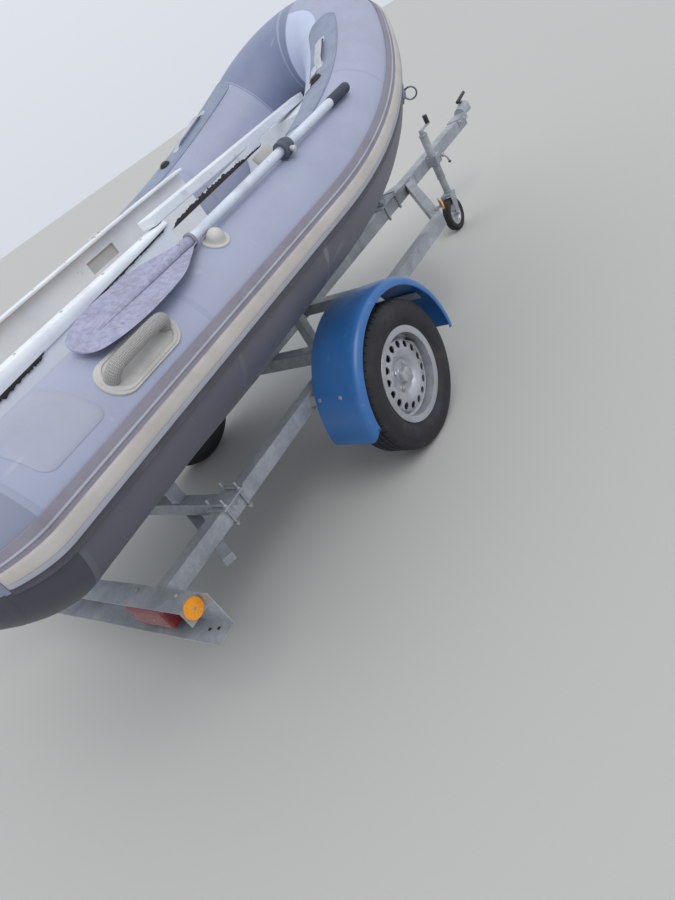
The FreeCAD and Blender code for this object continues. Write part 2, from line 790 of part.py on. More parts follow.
def oar_blade():
    """Flat blade in line with the shaft, with a socket round its end and a tapered spine."""
    aft, _, run, across, up = oar_points()

    def at(along, breadth):
        return aft - run * (BLADE_L * along) + across * (BLADE_W / 2 * breadth) - up * (BLADE_T / 2)

    neck = (-BLADE_NECK_L / BLADE_L, BLADE_NECK_W / BLADE_W)
    shares = (neck,) + BLADE_SHOULDER + BLADE_SIDE
    left = [at(along, breadth) for along, breadth in shares]
    right = [at(along, -breadth) for along, breadth in shares]
    edges = [tri_arc(*left[:3]), tri_arc(*left[2:]), tri_arc(left[4], at(1, 0), right[4]),
             tri_arc(*right[4:1:-1]), tri_arc(*right[2::-1]), line(right[0], left[0])]
    sheet = Part.Face(Part.Wire(edges)).extrude(up * BLADE_T)
    spine = Part.makeCone(SPINE_R[0], SPINE_R[1], SPINE_L, aft, -run)
    socket = Part.makeCylinder(SPINE_R[0], SOCKET_L, aft, run)
    return largest(fuse([sheet, spine, socket]).cut(rod(OAR_R + SEAT, OAR_AFT, OAR_FORE)))


def grip_patch():
    """Rubbed-in patch on the inboard top of the shoulder bend."""
    face = sector_face(TUBE_R + SEAT, TUBE_R + SEAT + PATCH_T, *PATCH_ANGLES)
    return SHOULDER.sweep(face, PATCH_FROM_DEG, PATCH_TO_DEG)


def bow_handle():
    """Webbing grip that bridges the patch."""
    half_angle = math.degrees(BOW_HANDLE_W / 2 / TUBE_R)
    angles = (BOW_HANDLE_ANGLE - half_angle, BOW_HANDLE_ANGLE + half_angle)
    low = TUBE_R + SEAT + PATCH_T
    high = low + BOW_HANDLE_RISE + BOW_HANDLE_T
    top = sector_face(low + BOW_HANDLE_RISE, high, *angles)
    foot = sector_face(low, high, *angles)
    start, end = BOW_HANDLE_AT
    return fuse([
        SHOULDER.sweep(top, start, end),
        SHOULDER.sweep(foot, start, start + BOW_HANDLE_FOOT_DEG),
        SHOULDER.sweep(foot, end - BOW_HANDLE_FOOT_DEG, end),
    ])


def bow_valve():
    """Round inflation valve with a domed cap."""
    low = PATCH_T + 2 * SEAT
    ring = Part.makeCylinder(VALVE_R, VALVE_H, Vector(0, 0, low))
    cap = Part.makeCylinder(VALVE_R * 0.7, VALVE_CAP_H, Vector(0, 0, low + VALVE_H))
    return on_shoulder(fuse([ring, cap]), VALVE_AT, VALVE_ANGLE)


def bow_ring():
    """Towing ring: a D of wire on a round patch below the strake."""
    patch = Part.makeCylinder(RING_PATCH_R, RING_PATCH_H, Vector(0, 0, 1.0))
    loop = Part.makeTorus(RING_R, RING_WIRE_R, Vector(0, 0, RING_R + RING_WIRE_R), Vector(1, 0, 0))
    return on_shoulder(fuse([patch, loop]), RING_AT, RING_ANGLE)


def rail():
    """Port side rail: box tube, straight, then splayed in to the drawbar, with a mitred bend."""
    slope = RAIL_Y / (RAIL_MEET_X - RAIL_BEND_X)
    splay = math.atan(slope)
    end_y = DRAWBAR_W / 2

    def outline(inset):
        outer_y = RAIL_Y - inset
        inner_y = RAIL_Y - RAIL_W + inset
        outer_bend = RAIL_BEND_X - inset * math.tan(splay / 2)
        inner_bend = RAIL_BEND_X - (RAIL_W - inset) * math.tan(splay / 2)
        return [
            (RAIL_REAR_X, inner_y),
            (inner_bend, inner_y),
            (inner_bend + (inner_y - end_y) / slope, end_y),
            (outer_bend + (outer_y - end_y) / slope, end_y),
            (outer_bend, outer_y),
            (RAIL_REAR_X, outer_y),
        ]

    low = RAIL_TOP_Z - RAIL_H
    solid = prism([(x, y, low) for x, y in outline(0)], Vector(0, 0, RAIL_H))
    hollow = prism([(x, y, low + RAIL_WALL) for x, y in outline(RAIL_WALL)],
                   Vector(0, 0, RAIL_H - 2 * RAIL_WALL))
    return solid.cut(hollow)


def drawbar():
    """Central box tube from the rear cross member to the coupling."""
    low = RAIL_TOP_Z - RAIL_H
    half = DRAWBAR_W / 2
    start = REAR_CROSS_X + CROSS_W / 2
    outer = box((start, DRAWBAR_FRONT_X), (-half, half), (low, low + DRAWBAR_H))
    inner = box((start, DRAWBAR_FRONT_X), (-half + DRAWBAR_WALL, half - DRAWBAR_WALL),
                (low + DRAWBAR_WALL, low + DRAWBAR_H - DRAWBAR_WALL))
    return outer.cut(inner)


def cross_members():
    """Rear and front cross members and the diagonal braces under the rails."""
    inner_y = RAIL_Y - RAIL_W
    z_range = (RAIL_TOP_Z - CROSS_W, RAIL_TOP_Z)
    rear = box((REAR_CROSS_X - CROSS_W / 2, REAR_CROSS_X + CROSS_W / 2), (-inner_y, inner_y), z_range)
    front = box((FRONT_CROSS_X - CROSS_W / 2, FRONT_CROSS_X + CROSS_W / 2),
                (DRAWBAR_W / 2, inner_y), z_range)
    brace_low = RAIL_TOP_Z - RAIL_H - BRACE_H
    start = Vector(BRACE_IN[0], BRACE_IN[1], brace_low)
    end = Vector(BRACE_OUT[0], BRACE_OUT[1], brace_low)
    run = end - start
    side = Vector(-run.y, run.x, 0).normalize() * (BRACE_W / 2)
    points = [tuple(start - side), tuple(end - side), tuple(end + side), tuple(start + side)]
    brace = prism(points, Vector(0, 0, BRACE_H))
    return Part.makeCompound([rear] + pair(front).Solids + pair(brace).Solids)


def u_bolt(half_width, height, below):
    """U-bolt round a member, legs along z, bow across y at the top."""
    r = U_BOLT_R
    legs = [rod(r, (0, sign * half_width, -below), (0, sign * half_width, height)) for sign in (-1, 1)]
    bow = rod(r, (0, -half_width, height), (0, half_width, height))
    corners = [Part.makeSphere(r, Vector(0, sign * half_width, height)) for sign in (-1, 1)]
    return fuse(legs + [bow] + corners)


def rail_clamps():
    """Clamp plate on each rail over the rear cross member, with its U-bolts."""
    plate_z = RAIL_TOP_Z + SEAT
    middle_y = RAIL_Y - RAIL_W / 2
    plate = box((REAR_CROSS_X - CLAMP_PLATE_HALF_L, REAR_CROSS_X + CLAMP_PLATE_HALF_L),
                (middle_y - CLAMP_PLATE_HALF_W, middle_y + CLAMP_PLATE_HALF_W),
                (plate_z, plate_z + CLAMP_PLATE_T))
    half = RAIL_W / 2 + U_BOLT_R + SEAT
    bolts = []
    for sign in (-1, 1):
        bolt = u_bolt(half, CLAMP_PLATE_T + U_BOLT_R + 2, RAIL_H + CLAMP_BOLT_BELOW)
        bolt.translate(Vector(REAR_CROSS_X + sign * CLAMP_BOLT_X, middle_y, RAIL_TOP_Z))
        bolts.append(bolt)
    return fuse([plate] + bolts)


def axle_beam():
    """Square axle tube below the frame with its mounting plates."""
    top = RAIL_TOP_Z - RAIL_H
    half = AXLE_SQ / 2
    beam = box((AXLE_X - half, AXLE_X + half), (-AXLE_HALF_L, AXLE_HALF_L), (top - AXLE_SQ, top))
    plates = []
    x_range = (AXLE_X - AXLE_PLATE_HALF_L, AXLE_X + AXLE_PLATE_HALF_L)
    for sign in (-1, 1):
        y = sign * (RAIL_Y - RAIL_W / 2)
        y_range = (y - AXLE_PLATE_T / 2, y + AXLE_PLATE_T / 2)
        plates.append(box(x_range, y_range, (top - AXLE_SQ - AXLE_PLATE_T, top)))
    return fuse([beam] + plates)


def axle_arm():
    """Trailing arm and spindle, port side."""
    axle_z = RAIL_TOP_Z - RAIL_H - AXLE_SQ / 2
    inner_y = ARM_INNER_Y
    outer_y = ARM_INNER_Y + ARM_T
    start = Vector(AXLE_X, inner_y, axle_z)
    end = Vector(0, inner_y, WHEEL_Z)
    run = (end - start).normalize()
    across = Vector(-run.z, 0, run.x)
    corners = [start + across * ARM_ROOT_R, end + across * ARM_TIP_R,
               end - across * ARM_TIP_R, start - across * ARM_ROOT_R]
    return fuse([
        prism([tuple(corner) for corner in corners], Vector(0, ARM_T, 0)),
        rod(ARM_ROOT_R, tuple(start), (AXLE_X, outer_y, axle_z)),
        rod(ARM_TIP_R, tuple(end), (0, outer_y, WHEEL_Z)),
        rod(TORSION_BAR_R, (AXLE_X, AXLE_HALF_L, axle_z), (AXLE_X, inner_y + 2, axle_z)),
        rod(SPINDLE_R, (0, outer_y - 2, WHEEL_Z), (0, WHEEL_Y + 10, WHEEL_Z)),
    ])


def ring_wire(points):
    """Closed wire in the plane of radius and width, as pairs (radius, y) or (radius, y, 'arc')."""
    edges = []
    count = len(points)
    index = 0
    while index < count:
        here = points[index]
        following = points[(index + 1) % count]
        if len(following) == 3:
            last = points[(index + 2) % count]
            edges.append(tri_arc((*here[:2], 0), (*following[:2], 0), (*last[:2], 0)))
            index += 2
        else:
            edges.append(line((*here[:2], 0), (*following[:2], 0)))
            index += 1
    return Part.Wire(edges)


def revolve_y(points, degrees=360.0):
    """Solid of revolution about the y axis from points (radius, y)."""
    return Part.Face(ring_wire(points)).revolve(Vector(0, 0, 0), Vector(0, 1, 0), degrees)


def road_tyre():
    """Tyre on its bead seats, hollow, centred on y = 0."""
    half = TYRE_W / 2
    bead = RIM_WIDTH / 2 - BEAD_GAP
    side = [(RIM_SEAT_R + rise, bead + out) for rise, out in BEAD_TOE]
    corner = [(WHEEL_Z - TYRE_SHOULDER * drop, half - TYRE_SHOULDER * inset)
              for drop, inset in TYRE_SHOULDER_AT]
    side += [((RIM_SEAT_R + WHEEL_Z) / 2, half, "arc"), corner[0], (*corner[1], "arc"), corner[2]]
    drop, inset = CROWN_INSIDE
    inside = [(WHEEL_Z - drop * TYRE_WALL, half - inset * TYRE_WALL)]
    inside += [(RIM_SEAT_R + rise, bead - step) for rise, step in BEAD_INSIDE]

    def other(points):
        return [(point[0], -point[1], *point[2:]) for point in points]

    return revolve_y(other(side) + side[::-1] + inside[::-1] + other(inside))


def road_rim():
    """Pressed steel rim with a drop centre, a dished disc with a ring of holes, and its hub."""
    half = RIM_WIDTH / 2
    barrel = revolve_y([(RIM_SEAT_R - drop, sign * (half - inset)) for drop, sign, inset in RIM_BARREL])
    disc = revolve_y(RIM_DISC)
    hub = revolve_y(HUB_OUTLINE)
    low, high = WHEEL_BOLT_Y
    for index in range(RIM_HOLES):
        angle = math.radians(360.0 * index / RIM_HOLES)
        x = RIM_HOLE_PCR * math.cos(angle)
        z = RIM_HOLE_PCR * math.sin(angle)
        disc = disc.cut(rod(RIM_HOLE_R, (x, low, z), (x, half, z)))
    bolts = []
    for index in range(WHEEL_BOLTS):
        angle = 2 * math.pi * (index + 0.5) / WHEEL_BOLTS
        x = WHEEL_BOLT_PCR * math.cos(angle)
        z = WHEEL_BOLT_PCR * math.sin(angle)
        bolts.append(rod(WHEEL_BOLT_R, (x, low, z), (x, high, z)))
    return fuse([barrel, disc, hub] + bolts)


def at_wheel(shape, side):
    """Place a wheel piece drawn about the y axis, its outer face towards side."""
    placed = shape.copy() if side > 0 else mirror_y(shape)
    placed.translate(Vector(0, side * WHEEL_Y, WHEEL_Z))
    return placed


def mudguard():
    """Half-round plastic guard with a rolled outer lip, port side."""
    t = GUARD_T
    r = GUARD_R
    crown = r + GUARD_CROWN
    lip_y = GUARD_OUTER_Y - GUARD_LIP_FROM
    points = [
        (r, GUARD_INNER_Y), (crown, lip_y),
        (r + 1, GUARD_OUTER_Y - 10, "arc"), (r - GUARD_LIP_DROP, GUARD_OUTER_Y),
        (r - GUARD_LIP_DROP, GUARD_OUTER_Y - t),
        (r - 2, GUARD_OUTER_Y - 12, "arc"), (crown - t, lip_y),
        (r - t, GUARD_INNER_Y),
    ]
    sweep = GUARD_ANGLE_TO - GUARD_ANGLE_FROM
    guard = revolve_y(points, -sweep)
    guard.rotate(Vector(0, 0, 0), Vector(0, 1, 0), -GUARD_ANGLE_FROM)
    guard.translate(Vector(0, 0, WHEEL_Z))
    return guard


def guard_stays():
    """Flat bars from the rail that carry the mudguard, port side."""
    reach = GUARD_R - GUARD_T - SEAT
    stays = []
    for angle in (STAY_ANGLE, 180 - STAY_ANGLE):
        bar = box((reach - STAY_T, reach), (RAIL_Y + SEAT, GUARD_OUTER_Y - STAY_SHORT),
                  (-STAY_W / 2, STAY_W / 2))
        bar.rotate(Vector(0, 0, 0), Vector(0, 1, 0), -angle)
        bar.translate(Vector(0, 0, WHEEL_Z))
        stays.append(bar)
    return stays


def light_board():
    """Folded channel across the back, open to the rear, its top flange shorter than its web."""
    front_x = RAIL_REAR_X - SEAT
    top = RAIL_TOP_Z
    low = top - LIGHT_BOARD_H
    t = LIGHT_BOARD_T
    web = box((front_x - t, front_x), (-BOARD_HALF_L, BOARD_HALF_L), (low, top))
    x_range = (front_x - LIGHT_BOARD_D, front_x)
    upper = box(x_range, (-BOARD_TOP_HALF_L, BOARD_TOP_HALF_L), (top - t, top))
    lower = box(x_range, (-BOARD_HALF_L, BOARD_HALF_L), (low, low + t))
    tabs = []
    for sign in (-1, 1):
        y = sign * BOARD_TOP_HALF_L
        tabs.append(box(x_range, sorted((y, y - sign * t)), (top - BOARD_TAB_H, top)))
    return fuse([web, upper, lower] + tabs)


def rear_lamp():
    """Lamp housing inside the channel, port side."""
    back_x = RAIL_REAR_X - SEAT - LIGHT_BOARD_T
    outer_y = BOARD_TOP_HALF_L - LAMP_END_GAP
    middle_z = RAIL_TOP_Z - LIGHT_BOARD_H / 2
    lamp = box((back_x - LAMP_D, back_x - SEAT), (outer_y - LAMP_L, outer_y),
               (middle_z - LAMP_H / 2, middle_z + LAMP_H / 2))
    edges = [edge for edge in lamp.Edges if abs(edge.BoundBox.XLength - (LAMP_D - SEAT)) < 1e-6]
    return lamp.makeFillet(LAMP_CORNER_R, edges)


def side_reflector():
    """Round reflector on the end tab of the light board, port side."""
    x = RAIL_REAR_X - SEAT - LIGHT_BOARD_D / 2
    z = RAIL_TOP_Z - SIDE_REFLECTOR_R + SIDE_REFLECTOR_ABOVE
    y = BOARD_TOP_HALF_L + SEAT
    return rod(SIDE_REFLECTOR_R, (x, y, z), (x, y + SIDE_REFLECTOR_T, z))


def oval_reflector():
    """Oval front reflector on the bracket at the bend of the rail, port side."""
    plate = stadium(OVAL_REFLECTOR_L, OVAL_REFLECTOR_H, OVAL_REFLECTOR_T)
    plate.rotate(Vector(0, 0, 0), Vector(1, 0, 0), -90)
    return at_reflector(plate)


def at_reflector(piece):
    """Turn and move a piece drawn facing +Y at the origin to the oval reflector's place."""
    slope = RAIL_Y / (RAIL_MEET_X - RAIL_BEND_X)
    y = RAIL_Y - (BRACKET_X - RAIL_BEND_X) * slope
    off = OVAL_REFLECTOR_OFF
    piece.rotate(Vector(0, 0, 0), Vector(0, 0, 1), OVAL_REFLECTOR_TURN_DEG)
    piece.translate(Vector(BRACKET_X + off, y + off, RAIL_TOP_Z + off))
    return piece


def reflector_bracket():
    """Angle that stands on the splayed rail and carries the oval reflector, port side."""
    low = SEAT - OVAL_REFLECTOR_OFF
    x_range = (-BRACKET_HALF_W, BRACKET_HALF_W)
    upright = box(x_range, (-BRACKET_T - SEAT, -SEAT), (low, BRACKET_TOP))
    foot = box(x_range, (-BRACKET_FOOT_L, -SEAT), (low, low + BRACKET_T))
    return at_reflector(fuse([upright, foot]))


def coupling_axis():
    """Start and end of the coupling's throat, at the drawbar's end and at the ball."""
    ball_z = DRAWBAR_TOP_Z + BALL_ABOVE_BAR
    return (DRAWBAR_FRONT_X + 10, 0, DRAWBAR_TOP_Z - 2), (COUPLING_BALL_X, 0, ball_z + 4), ball_z


def coupling_head():
    """Pressed coupling: channel over the drawbar's end and a domed ball cup."""
    low = RAIL_TOP_Z - RAIL_H
    top = DRAWBAR_TOP_Z
    half = DRAWBAR_W / 2 + COUPLING_SHEET
    start = DRAWBAR_FRONT_X - COUPLING_COVER_L
    z_range = (top - COUPLING_COVER_H, top + COUPLING_SHEET + 1)
    cover = box((start, DRAWBAR_FRONT_X), (-half, half), z_range)
    bar_half = DRAWBAR_W / 2 + SEAT
    cover = cover.cut(box((start - 1, DRAWBAR_FRONT_X + 1), (-bar_half, bar_half), (low, top + SEAT)))
    neck = box((DRAWBAR_FRONT_X, DRAWBAR_FRONT_X + COUPLING_NECK_L), (-half, half), z_range)
    back, front, ball_z = coupling_axis()
    ball = Vector(COUPLING_BALL_X, 0, ball_z)
    cup = Part.makeSphere(COUPLING_NOSE_R, ball)
    skirt = Part.makeCylinder(COUPLING_NOSE_R, COUPLING_SKIRT_H, ball - Vector(0, 0, COUPLING_SKIRT_H))
    body = fuse([cover, neck, rod(COUPLING_THROAT_R, back, front), cup, skirt])
    floor_z = ball_z - 2 * COUPLING_SKIRT_H
    reach = 2 * COUPLING_NOSE_R
    body = body.cut(box((start, COUPLING_BALL_X + reach), (-reach, reach), (floor_z - reach, floor_z)))
    mouth = Part.makeCylinder(BALL_R, reach, ball - Vector(0, 0, reach))
    return body.cut([Part.makeSphere(BALL_R, ball), mouth])


def coupling_lever():
    """Release lever on top of the coupling."""
    back, front, ball_z = coupling_axis()
    z = ball_z + COUPLING_NOSE_R
    pivot_x = COUPLING_BALL_X - 20
    grip = rod(LEVER_R, (pivot_x - LEVER_BACK_L, 0, z + 14), (pivot_x + LEVER_L, 0, z + 30))
    post = box((pivot_x - 10, pivot_x + 10), (-8, 8), (z - 2 + SEAT, z + 22))
    cup = Part.makeSphere(COUPLING_NOSE_R + SEAT, Vector(COUPLING_BALL_X, 0, ball_z))
    return largest(fuse([grip, post]).cut([cup, rod(COUPLING_THROAT_R + SEAT, back, front)]))


def jockey_rod(radius, low, top):
    """Upright round bar on the jockey's axis."""
    return rod(radius, (JOCKEY_X, JOCKEY_Y, low), (JOCKEY_X, JOCKEY_Y, top))


def jockey_clamp():
    """Clamp block on the drawbar's side that grips the jockey's outer tube."""
    middle_z = DRAWBAR_TOP_Z - DRAWBAR_H / 2
    half_w = JOCKEY_TUBE_R + JOCKEY_CLAMP_WALL
    half_h = JOCKEY_CLAMP_HALF_H
    outer_y = JOCKEY_Y - half_w
    block = box((JOCKEY_X - half_w, JOCKEY_X + half_w), (outer_y, -DRAWBAR_W / 2 - SEAT),
                (middle_z - half_h, middle_z + half_h))
    bore = jockey_rod(JOCKEY_TUBE_R + SEAT, middle_z - 2 * half_h, middle_z + 2 * half_h)
    bolt_x = JOCKEY_X + JOCKEY_TUBE_R + JOCKEY_BOLT_R
    bolt = rod(JOCKEY_BOLT_R, (bolt_x, outer_y - JOCKEY_BOLT_OUT, middle_z),
               (bolt_x, outer_y + JOCKEY_CLAMP_WALL / 2, middle_z))
    return fuse([block.cut(bore), bolt])


def jockey_tube():
    """Outer tube with its closed top."""
    low, top = JOCKEY_TUBE_Z
    hollow = jockey_rod(JOCKEY_STEM_R + JOCKEY_GAP, low, top - JOCKEY_TUBE_CAP)
    return jockey_rod(JOCKEY_TUBE_R, low, top).cut(hollow)


def jockey_crank():
    """Crank handle on top of the outer tube."""
    top = JOCKEY_TUBE_Z[1] + SEAT
    knob_x = JOCKEY_X + CRANK_ARM_L
    half = CRANK_ARM_HALF_W
    arm_low, arm_high = (top + z for z in CRANK_ARM_Z)
    knob_low, knob_high = (top + z for z in CRANK_KNOB_Z)
    arm = box((JOCKEY_X - half, knob_x + half), (JOCKEY_Y - half, JOCKEY_Y + half), (arm_low, arm_high))
    knob = rod(CRANK_KNOB_R, (knob_x, JOCKEY_Y, knob_low), (knob_x, JOCKEY_Y, knob_high))
    return fuse([jockey_rod(CRANK_HUB_R, top, arm_high), arm, knob])


def jockey_stem():
    """Inner tube that slides in the outer one, with the swivel's pin below its foot."""
    low, top = JOCKEY_STEM_Z
    return fuse([jockey_rod(JOCKEY_STEM_R, low, top), jockey_rod(SWIVEL_PIN_R, low - SWIVEL_PIN_L, low)])


def jockey_fork():
    """Swivelling fork: crown with the pin's bore, two cheeks and the wheel's axle."""
    top = JOCKEY_STEM_Z[0] - SEAT
    axle_x = JOCKEY_X - JOCKEY_TRAIL
    half = JOCKEY_WHEEL_W / 2 + FORK_SHEET
    outer = half + FORK_SHEET
    back_x = JOCKEY_X - CROWN_BACK
    front_x = JOCKEY_X + CROWN_AHEAD
    crown = box((back_x, front_x), (JOCKEY_Y - outer, JOCKEY_Y + outer), (top - CROWN_T, top))
    cheeks = []
    for sign in (-1, 1):
        y = JOCKEY_Y + sign * half
        foot_z = JOCKEY_WHEEL_R - 16
        points = [(back_x, y, top), (front_x, y, top), (axle_x + 18, y, foot_z), (axle_x - 18, y, foot_z)]
        cheeks.append(prism(points, Vector(0, sign * FORK_SHEET, 0)))
    axle = rod(JOCKEY_AXLE_R, (axle_x, JOCKEY_Y - outer - 3, JOCKEY_WHEEL_R),
               (axle_x, JOCKEY_Y + outer + 3, JOCKEY_WHEEL_R))
    bore = jockey_rod(SWIVEL_PIN_R + SPINDLE_CLEAR, top - SWIVEL_PIN_L - 1, top)
    return fuse([crown, axle] + cheeks).cut(bore)


def jockey_rim():
    """Small pressed rim with its hub tube."""
    bore = JOCKEY_AXLE_R + SPINDLE_CLEAR
    half = JOCKEY_WHEEL_W / 2
    seat = JOCKEY_SEAT_R
    shape = revolve_y([
        (bore, -half - 2), (17, -half - 2), (17, -6), (seat - 12, -4), (seat - 6, -17), (seat, -17),
        (seat, 17), (seat - 6, 17), (seat - 12, 4), (17, 6), (17, half + 2), (bore, half + 2),
    ])
    return at_jockey_axle(shape)


def at_jockey_axle(shape):
    """Move a wheel piece drawn about the y axis onto the jockey's axle."""
    shape.translate(Vector(JOCKEY_X - JOCKEY_TRAIL, JOCKEY_Y, JOCKEY_WHEEL_R))
    return shape


def jockey_tyre():
    """Solid rubber tyre of the jockey wheel."""
    half = JOCKEY_WHEEL_W / 2
    seat = JOCKEY_SEAT_R + SEAT
    r = JOCKEY_WHEEL_R
    shoulder = r - 16
    return at_jockey_axle(revolve_y([
        (seat, -19), (shoulder, -half), (r - 4, -half + 6), (r, 0, "arc"), (r - 4, half - 6),
        (shoulder, half), (seat, 19),
    ]))


def keel_z_at(x):
    """Height of the keel above ground at trailer x."""
    pitch = math.radians(BOAT_PITCH_DEG)
    stations = HULL_STATIONS
    boat_x = x / math.cos(pitch)
    for near, far in zip(stations, stations[1:]):
        if near[0] <= boat_x <= far[0]:
            share = (boat_x - near[0]) / (far[0] - near[0])
            local = near[1] + share * (far[1] - near[1])
    return BOAT_AXIS_Z + boat_x * math.sin(pitch) + local * math.cos(pitch)


def keel_roller(x):
    """Waisted rubber roller under the keel."""
    half = ROLLER_L / 2
    r = ROLLER_R
    roller = revolve_y([
        (ROLLER_BORE_R, -half), (r, -half), (r, -half + ROLLER_LAND), (r - ROLLER_WAIST, 0, "arc"),
        (r, half - ROLLER_LAND), (r, half), (ROLLER_BORE_R, half),
    ])
    roller.translate(Vector(x, 0, roller_axis_z(x)))
    return roller


def roller_axis_z(x):
    return keel_z_at(x) - ROLLER_R + ROLLER_BITE


def roller_bracket(x):
    """Two upright ears and the pin that carry a keel roller."""
    base = RAIL_TOP_Z if x == REAR_CROSS_X else DRAWBAR_TOP_Z
    inner = ROLLER_L / 2 + EAR_CLEAR
    outer = inner + EAR_T
    z = roller_axis_z(x)
    plate = box((x - BRACKET_HALF_L, x + BRACKET_HALF_L), (-outer, outer), (base + SEAT, base + EAR_T))
    ears = []
    for sign in (-1, 1):
        ears.append(box((x - EAR_HALF_L, x + EAR_HALF_L), sorted((sign * inner, sign * outer)),
                        (base + SEAT, z + EAR_ABOVE_PIN)))
    reach = outer + EAR_CLEAR
    pin = rod(ROLLER_PIN_R, (x, -reach, z), (x, reach, z))
    return fuse([plate, pin] + ears)


def hull_bottom_z(y):
    """Height of the hull's flat bottom below the tube axis at y."""
    _, keel_z, chine_y, chine_z = HULL_STATIONS[0][:4]
    return keel_z + (chine_z - keel_z) * y / chine_y


def bunk():
    """Padded bearer under the hull's bottom, port side, drawn in the boat's frame."""
    _, keel_z, chine_y, chine_z = HULL_STATIONS[0][:4]
    dead_rise = math.degrees(math.atan2(chine_z - keel_z, chine_y))
    bearer = box(BUNK_X, (-BUNK_W / 2, BUNK_W / 2), (-BUNK_H, -SEAT))
    bearer.rotate(Vector(0, 0, 0), Vector(1, 0, 0), dead_rise)
    bearer.translate(Vector(0, BUNK_Y, hull_bottom_z(BUNK_Y)))
    return bearer


def bunk_posts(bunks):
    """Posts from the rear cross member and the axle beam up to the bunk, port side."""
    half = POST_SQ / 2
    posts = []
    for x, base in ((REAR_CROSS_X, RAIL_TOP_Z), (AXLE_X, RAIL_TOP_Z - RAIL_H)):
        post = box((x - half, x + half), (BUNK_Y - half, BUNK_Y + half), (base + SEAT, BOAT_AXIS_Z))
        posts.append(min(post.cut(bunks).Solids, key=lambda solid: solid.BoundBox.ZMin))
    return posts


def bow_support():
    """Post on the drawbar that carries the stem, held by two U-bolts."""
    x = SUPPORT_BASE_X
    z = DRAWBAR_TOP_Z
    half = DRAWBAR_W / 2
    plate = box((x - SUPPORT_PLATE_HALF_L, x + SUPPORT_PLATE_HALF_L),
                (-half - SUPPORT_PLATE_OVER, half + SUPPORT_PLATE_OVER), (z + SEAT, z + SUPPORT_PLATE_T))
    foot = Vector(x - SUPPORT_SQ / 2, 0, z + SUPPORT_PLATE_T / 2)
    head = Vector(SUPPORT_HEAD_X, 0, keel_z_at(SUPPORT_HEAD_X) - SUPPORT_HEAD_BELOW)
    run = head - foot
    side = SUPPORT_SQ / 2
    post = box((-side, side), (-side, side), (0, run.Length))
    post.rotate(Vector(0, 0, 0), Vector(0, 1, 0), math.degrees(math.atan2(run.x, run.z)))
    post.translate(foot)
    reach = 2 * SUPPORT_SQ
    post = post.cut(box((foot.x - reach, foot.x + reach), (-reach, reach), (z - reach, z + SEAT)))
    bolts = []
    for sign in (-1, 1):
        bolt = u_bolt(half + U_BOLT_R + SEAT, SUPPORT_BOLT_TOP + U_BOLT_R, DRAWBAR_H + SUPPORT_BOLT_BELOW)
        bolt.translate(Vector(x + sign * U_BOLT_SPACING / 2, 0, z))
        bolts.append(bolt)
    return fuse([plate, post] + bolts)


def boat_nodes():
    """Every piece of the boat in the boat's own frame."""
    cutters = tube_cutter()
    port_tube = side_tube(TUBE_R, STERN_X)
    cone = stern_cone()
    hull = largest(hull_solid(cutters))
    port_cutter = cutters[0]
    handle = seated(lifting_handle(), HANDLE_X, HANDLE_ANGLE, port_cutter)
    oarlock_deg = math.degrees((OARLOCK_X - BEND_X) / SHOULDER.radius)
    oarlock = largest(on_shoulder(oarlock_block(), oarlock_deg, OARLOCK_ANGLE).cut(port_cutter))
    holder = seated(oar_holder(), HOLDER_X, HOLDER_ANGLE, port_cutter)
    ring = largest(bow_ring().cut(port_cutter))
    return {
        "tube_starboard": mirror_y(port_tube),
        "tube_port": port_tube,
        "tube_bow": nose_tube(TUBE_R),
        "stern_cones": pair(cone),
        "rub_strake": rub_strake(),
        "hull": hull,
        "transom": transom_solid(cutters),
        "transom_pads": transom_pads(),
        "deck_floor": deck_floor(),
        "bow_locker": bow_locker(hull, cutters),
        "coaming_starboard": mirror_y(coaming(COAMING_STARBOARD, False, hull)),
        "coaming_port": coaming(COAMING_PORT, True, hull),
        "long_board": long_board(),
        "lifting_handles": pair(handle),
        "oarlock_blocks": pair(oarlock),
        "oar_holders": pair(holder),
        "oar_shaft": oar_shaft(),
        "oar_grip": oar_grip(),
        "oar_collar": oar_collar(),
        "oar_blade": oar_blade(),
        "grip_patches": pair(grip_patch()),
        "bow_handles": pair(bow_handle()),
        "bow_valves": pair(bow_valve()),
        "tow_rings": pair(ring),
        "bunks": pair(bunk()),
    }


def trailer_nodes(bunks):
    """Every piece of the trailer, apart from the bunks, in the trailer's frame."""
    rollers = [keel_roller(x) for x in ROLLER_XS]
    posts = Part.makeCompound(bunk_posts(bunks))
    nodes = {
        "drawbar": drawbar(),
        "rail_port": rail(),
        "rail_starboard": mirror_y(rail()),
        "cross_members": cross_members(),
        "rail_clamps": pair(rail_clamps()),
        "axle_beam": axle_beam(),
        "axle_arms": pair(axle_arm()),
        "mudguards": pair(mudguard()),
        "guard_stays": pair(Part.makeCompound(guard_stays())),
        "light_board": light_board(),
        "rear_lamps": pair(rear_lamp()),
        "reflectors": pair(Part.makeCompound([side_reflector(), oval_reflector()])),
        "reflector_brackets": pair(reflector_bracket()),
        "coupling_head": coupling_head(),
        "coupling_lever": coupling_lever(),
        "jockey_clamp": jockey_clamp(),
        "jockey_tube": jockey_tube(),
        "jockey_crank": jockey_crank(),
        "jockey_stem": jockey_stem(),
        "jockey_fork": jockey_fork(),
        "jockey_rim": jockey_rim(),
        "jockey_tyre": jockey_tyre(),
        "keel_rollers": Part.makeCompound(rollers),
        "roller_brackets": Part.makeCompound([roller_bracket(x) for x in ROLLER_XS]),
        "bow_support": bow_support(),
        "bunk_posts": pair(posts),
    }
    tyre = road_tyre()
    rim = road_rim()
    for name, side in (("port", 1), ("starboard", -1)):
        nodes["rim_" + name] = at_wheel(rim, side)
        nodes["tyre_" + name] = at_wheel(tyre, side)
    return nodes


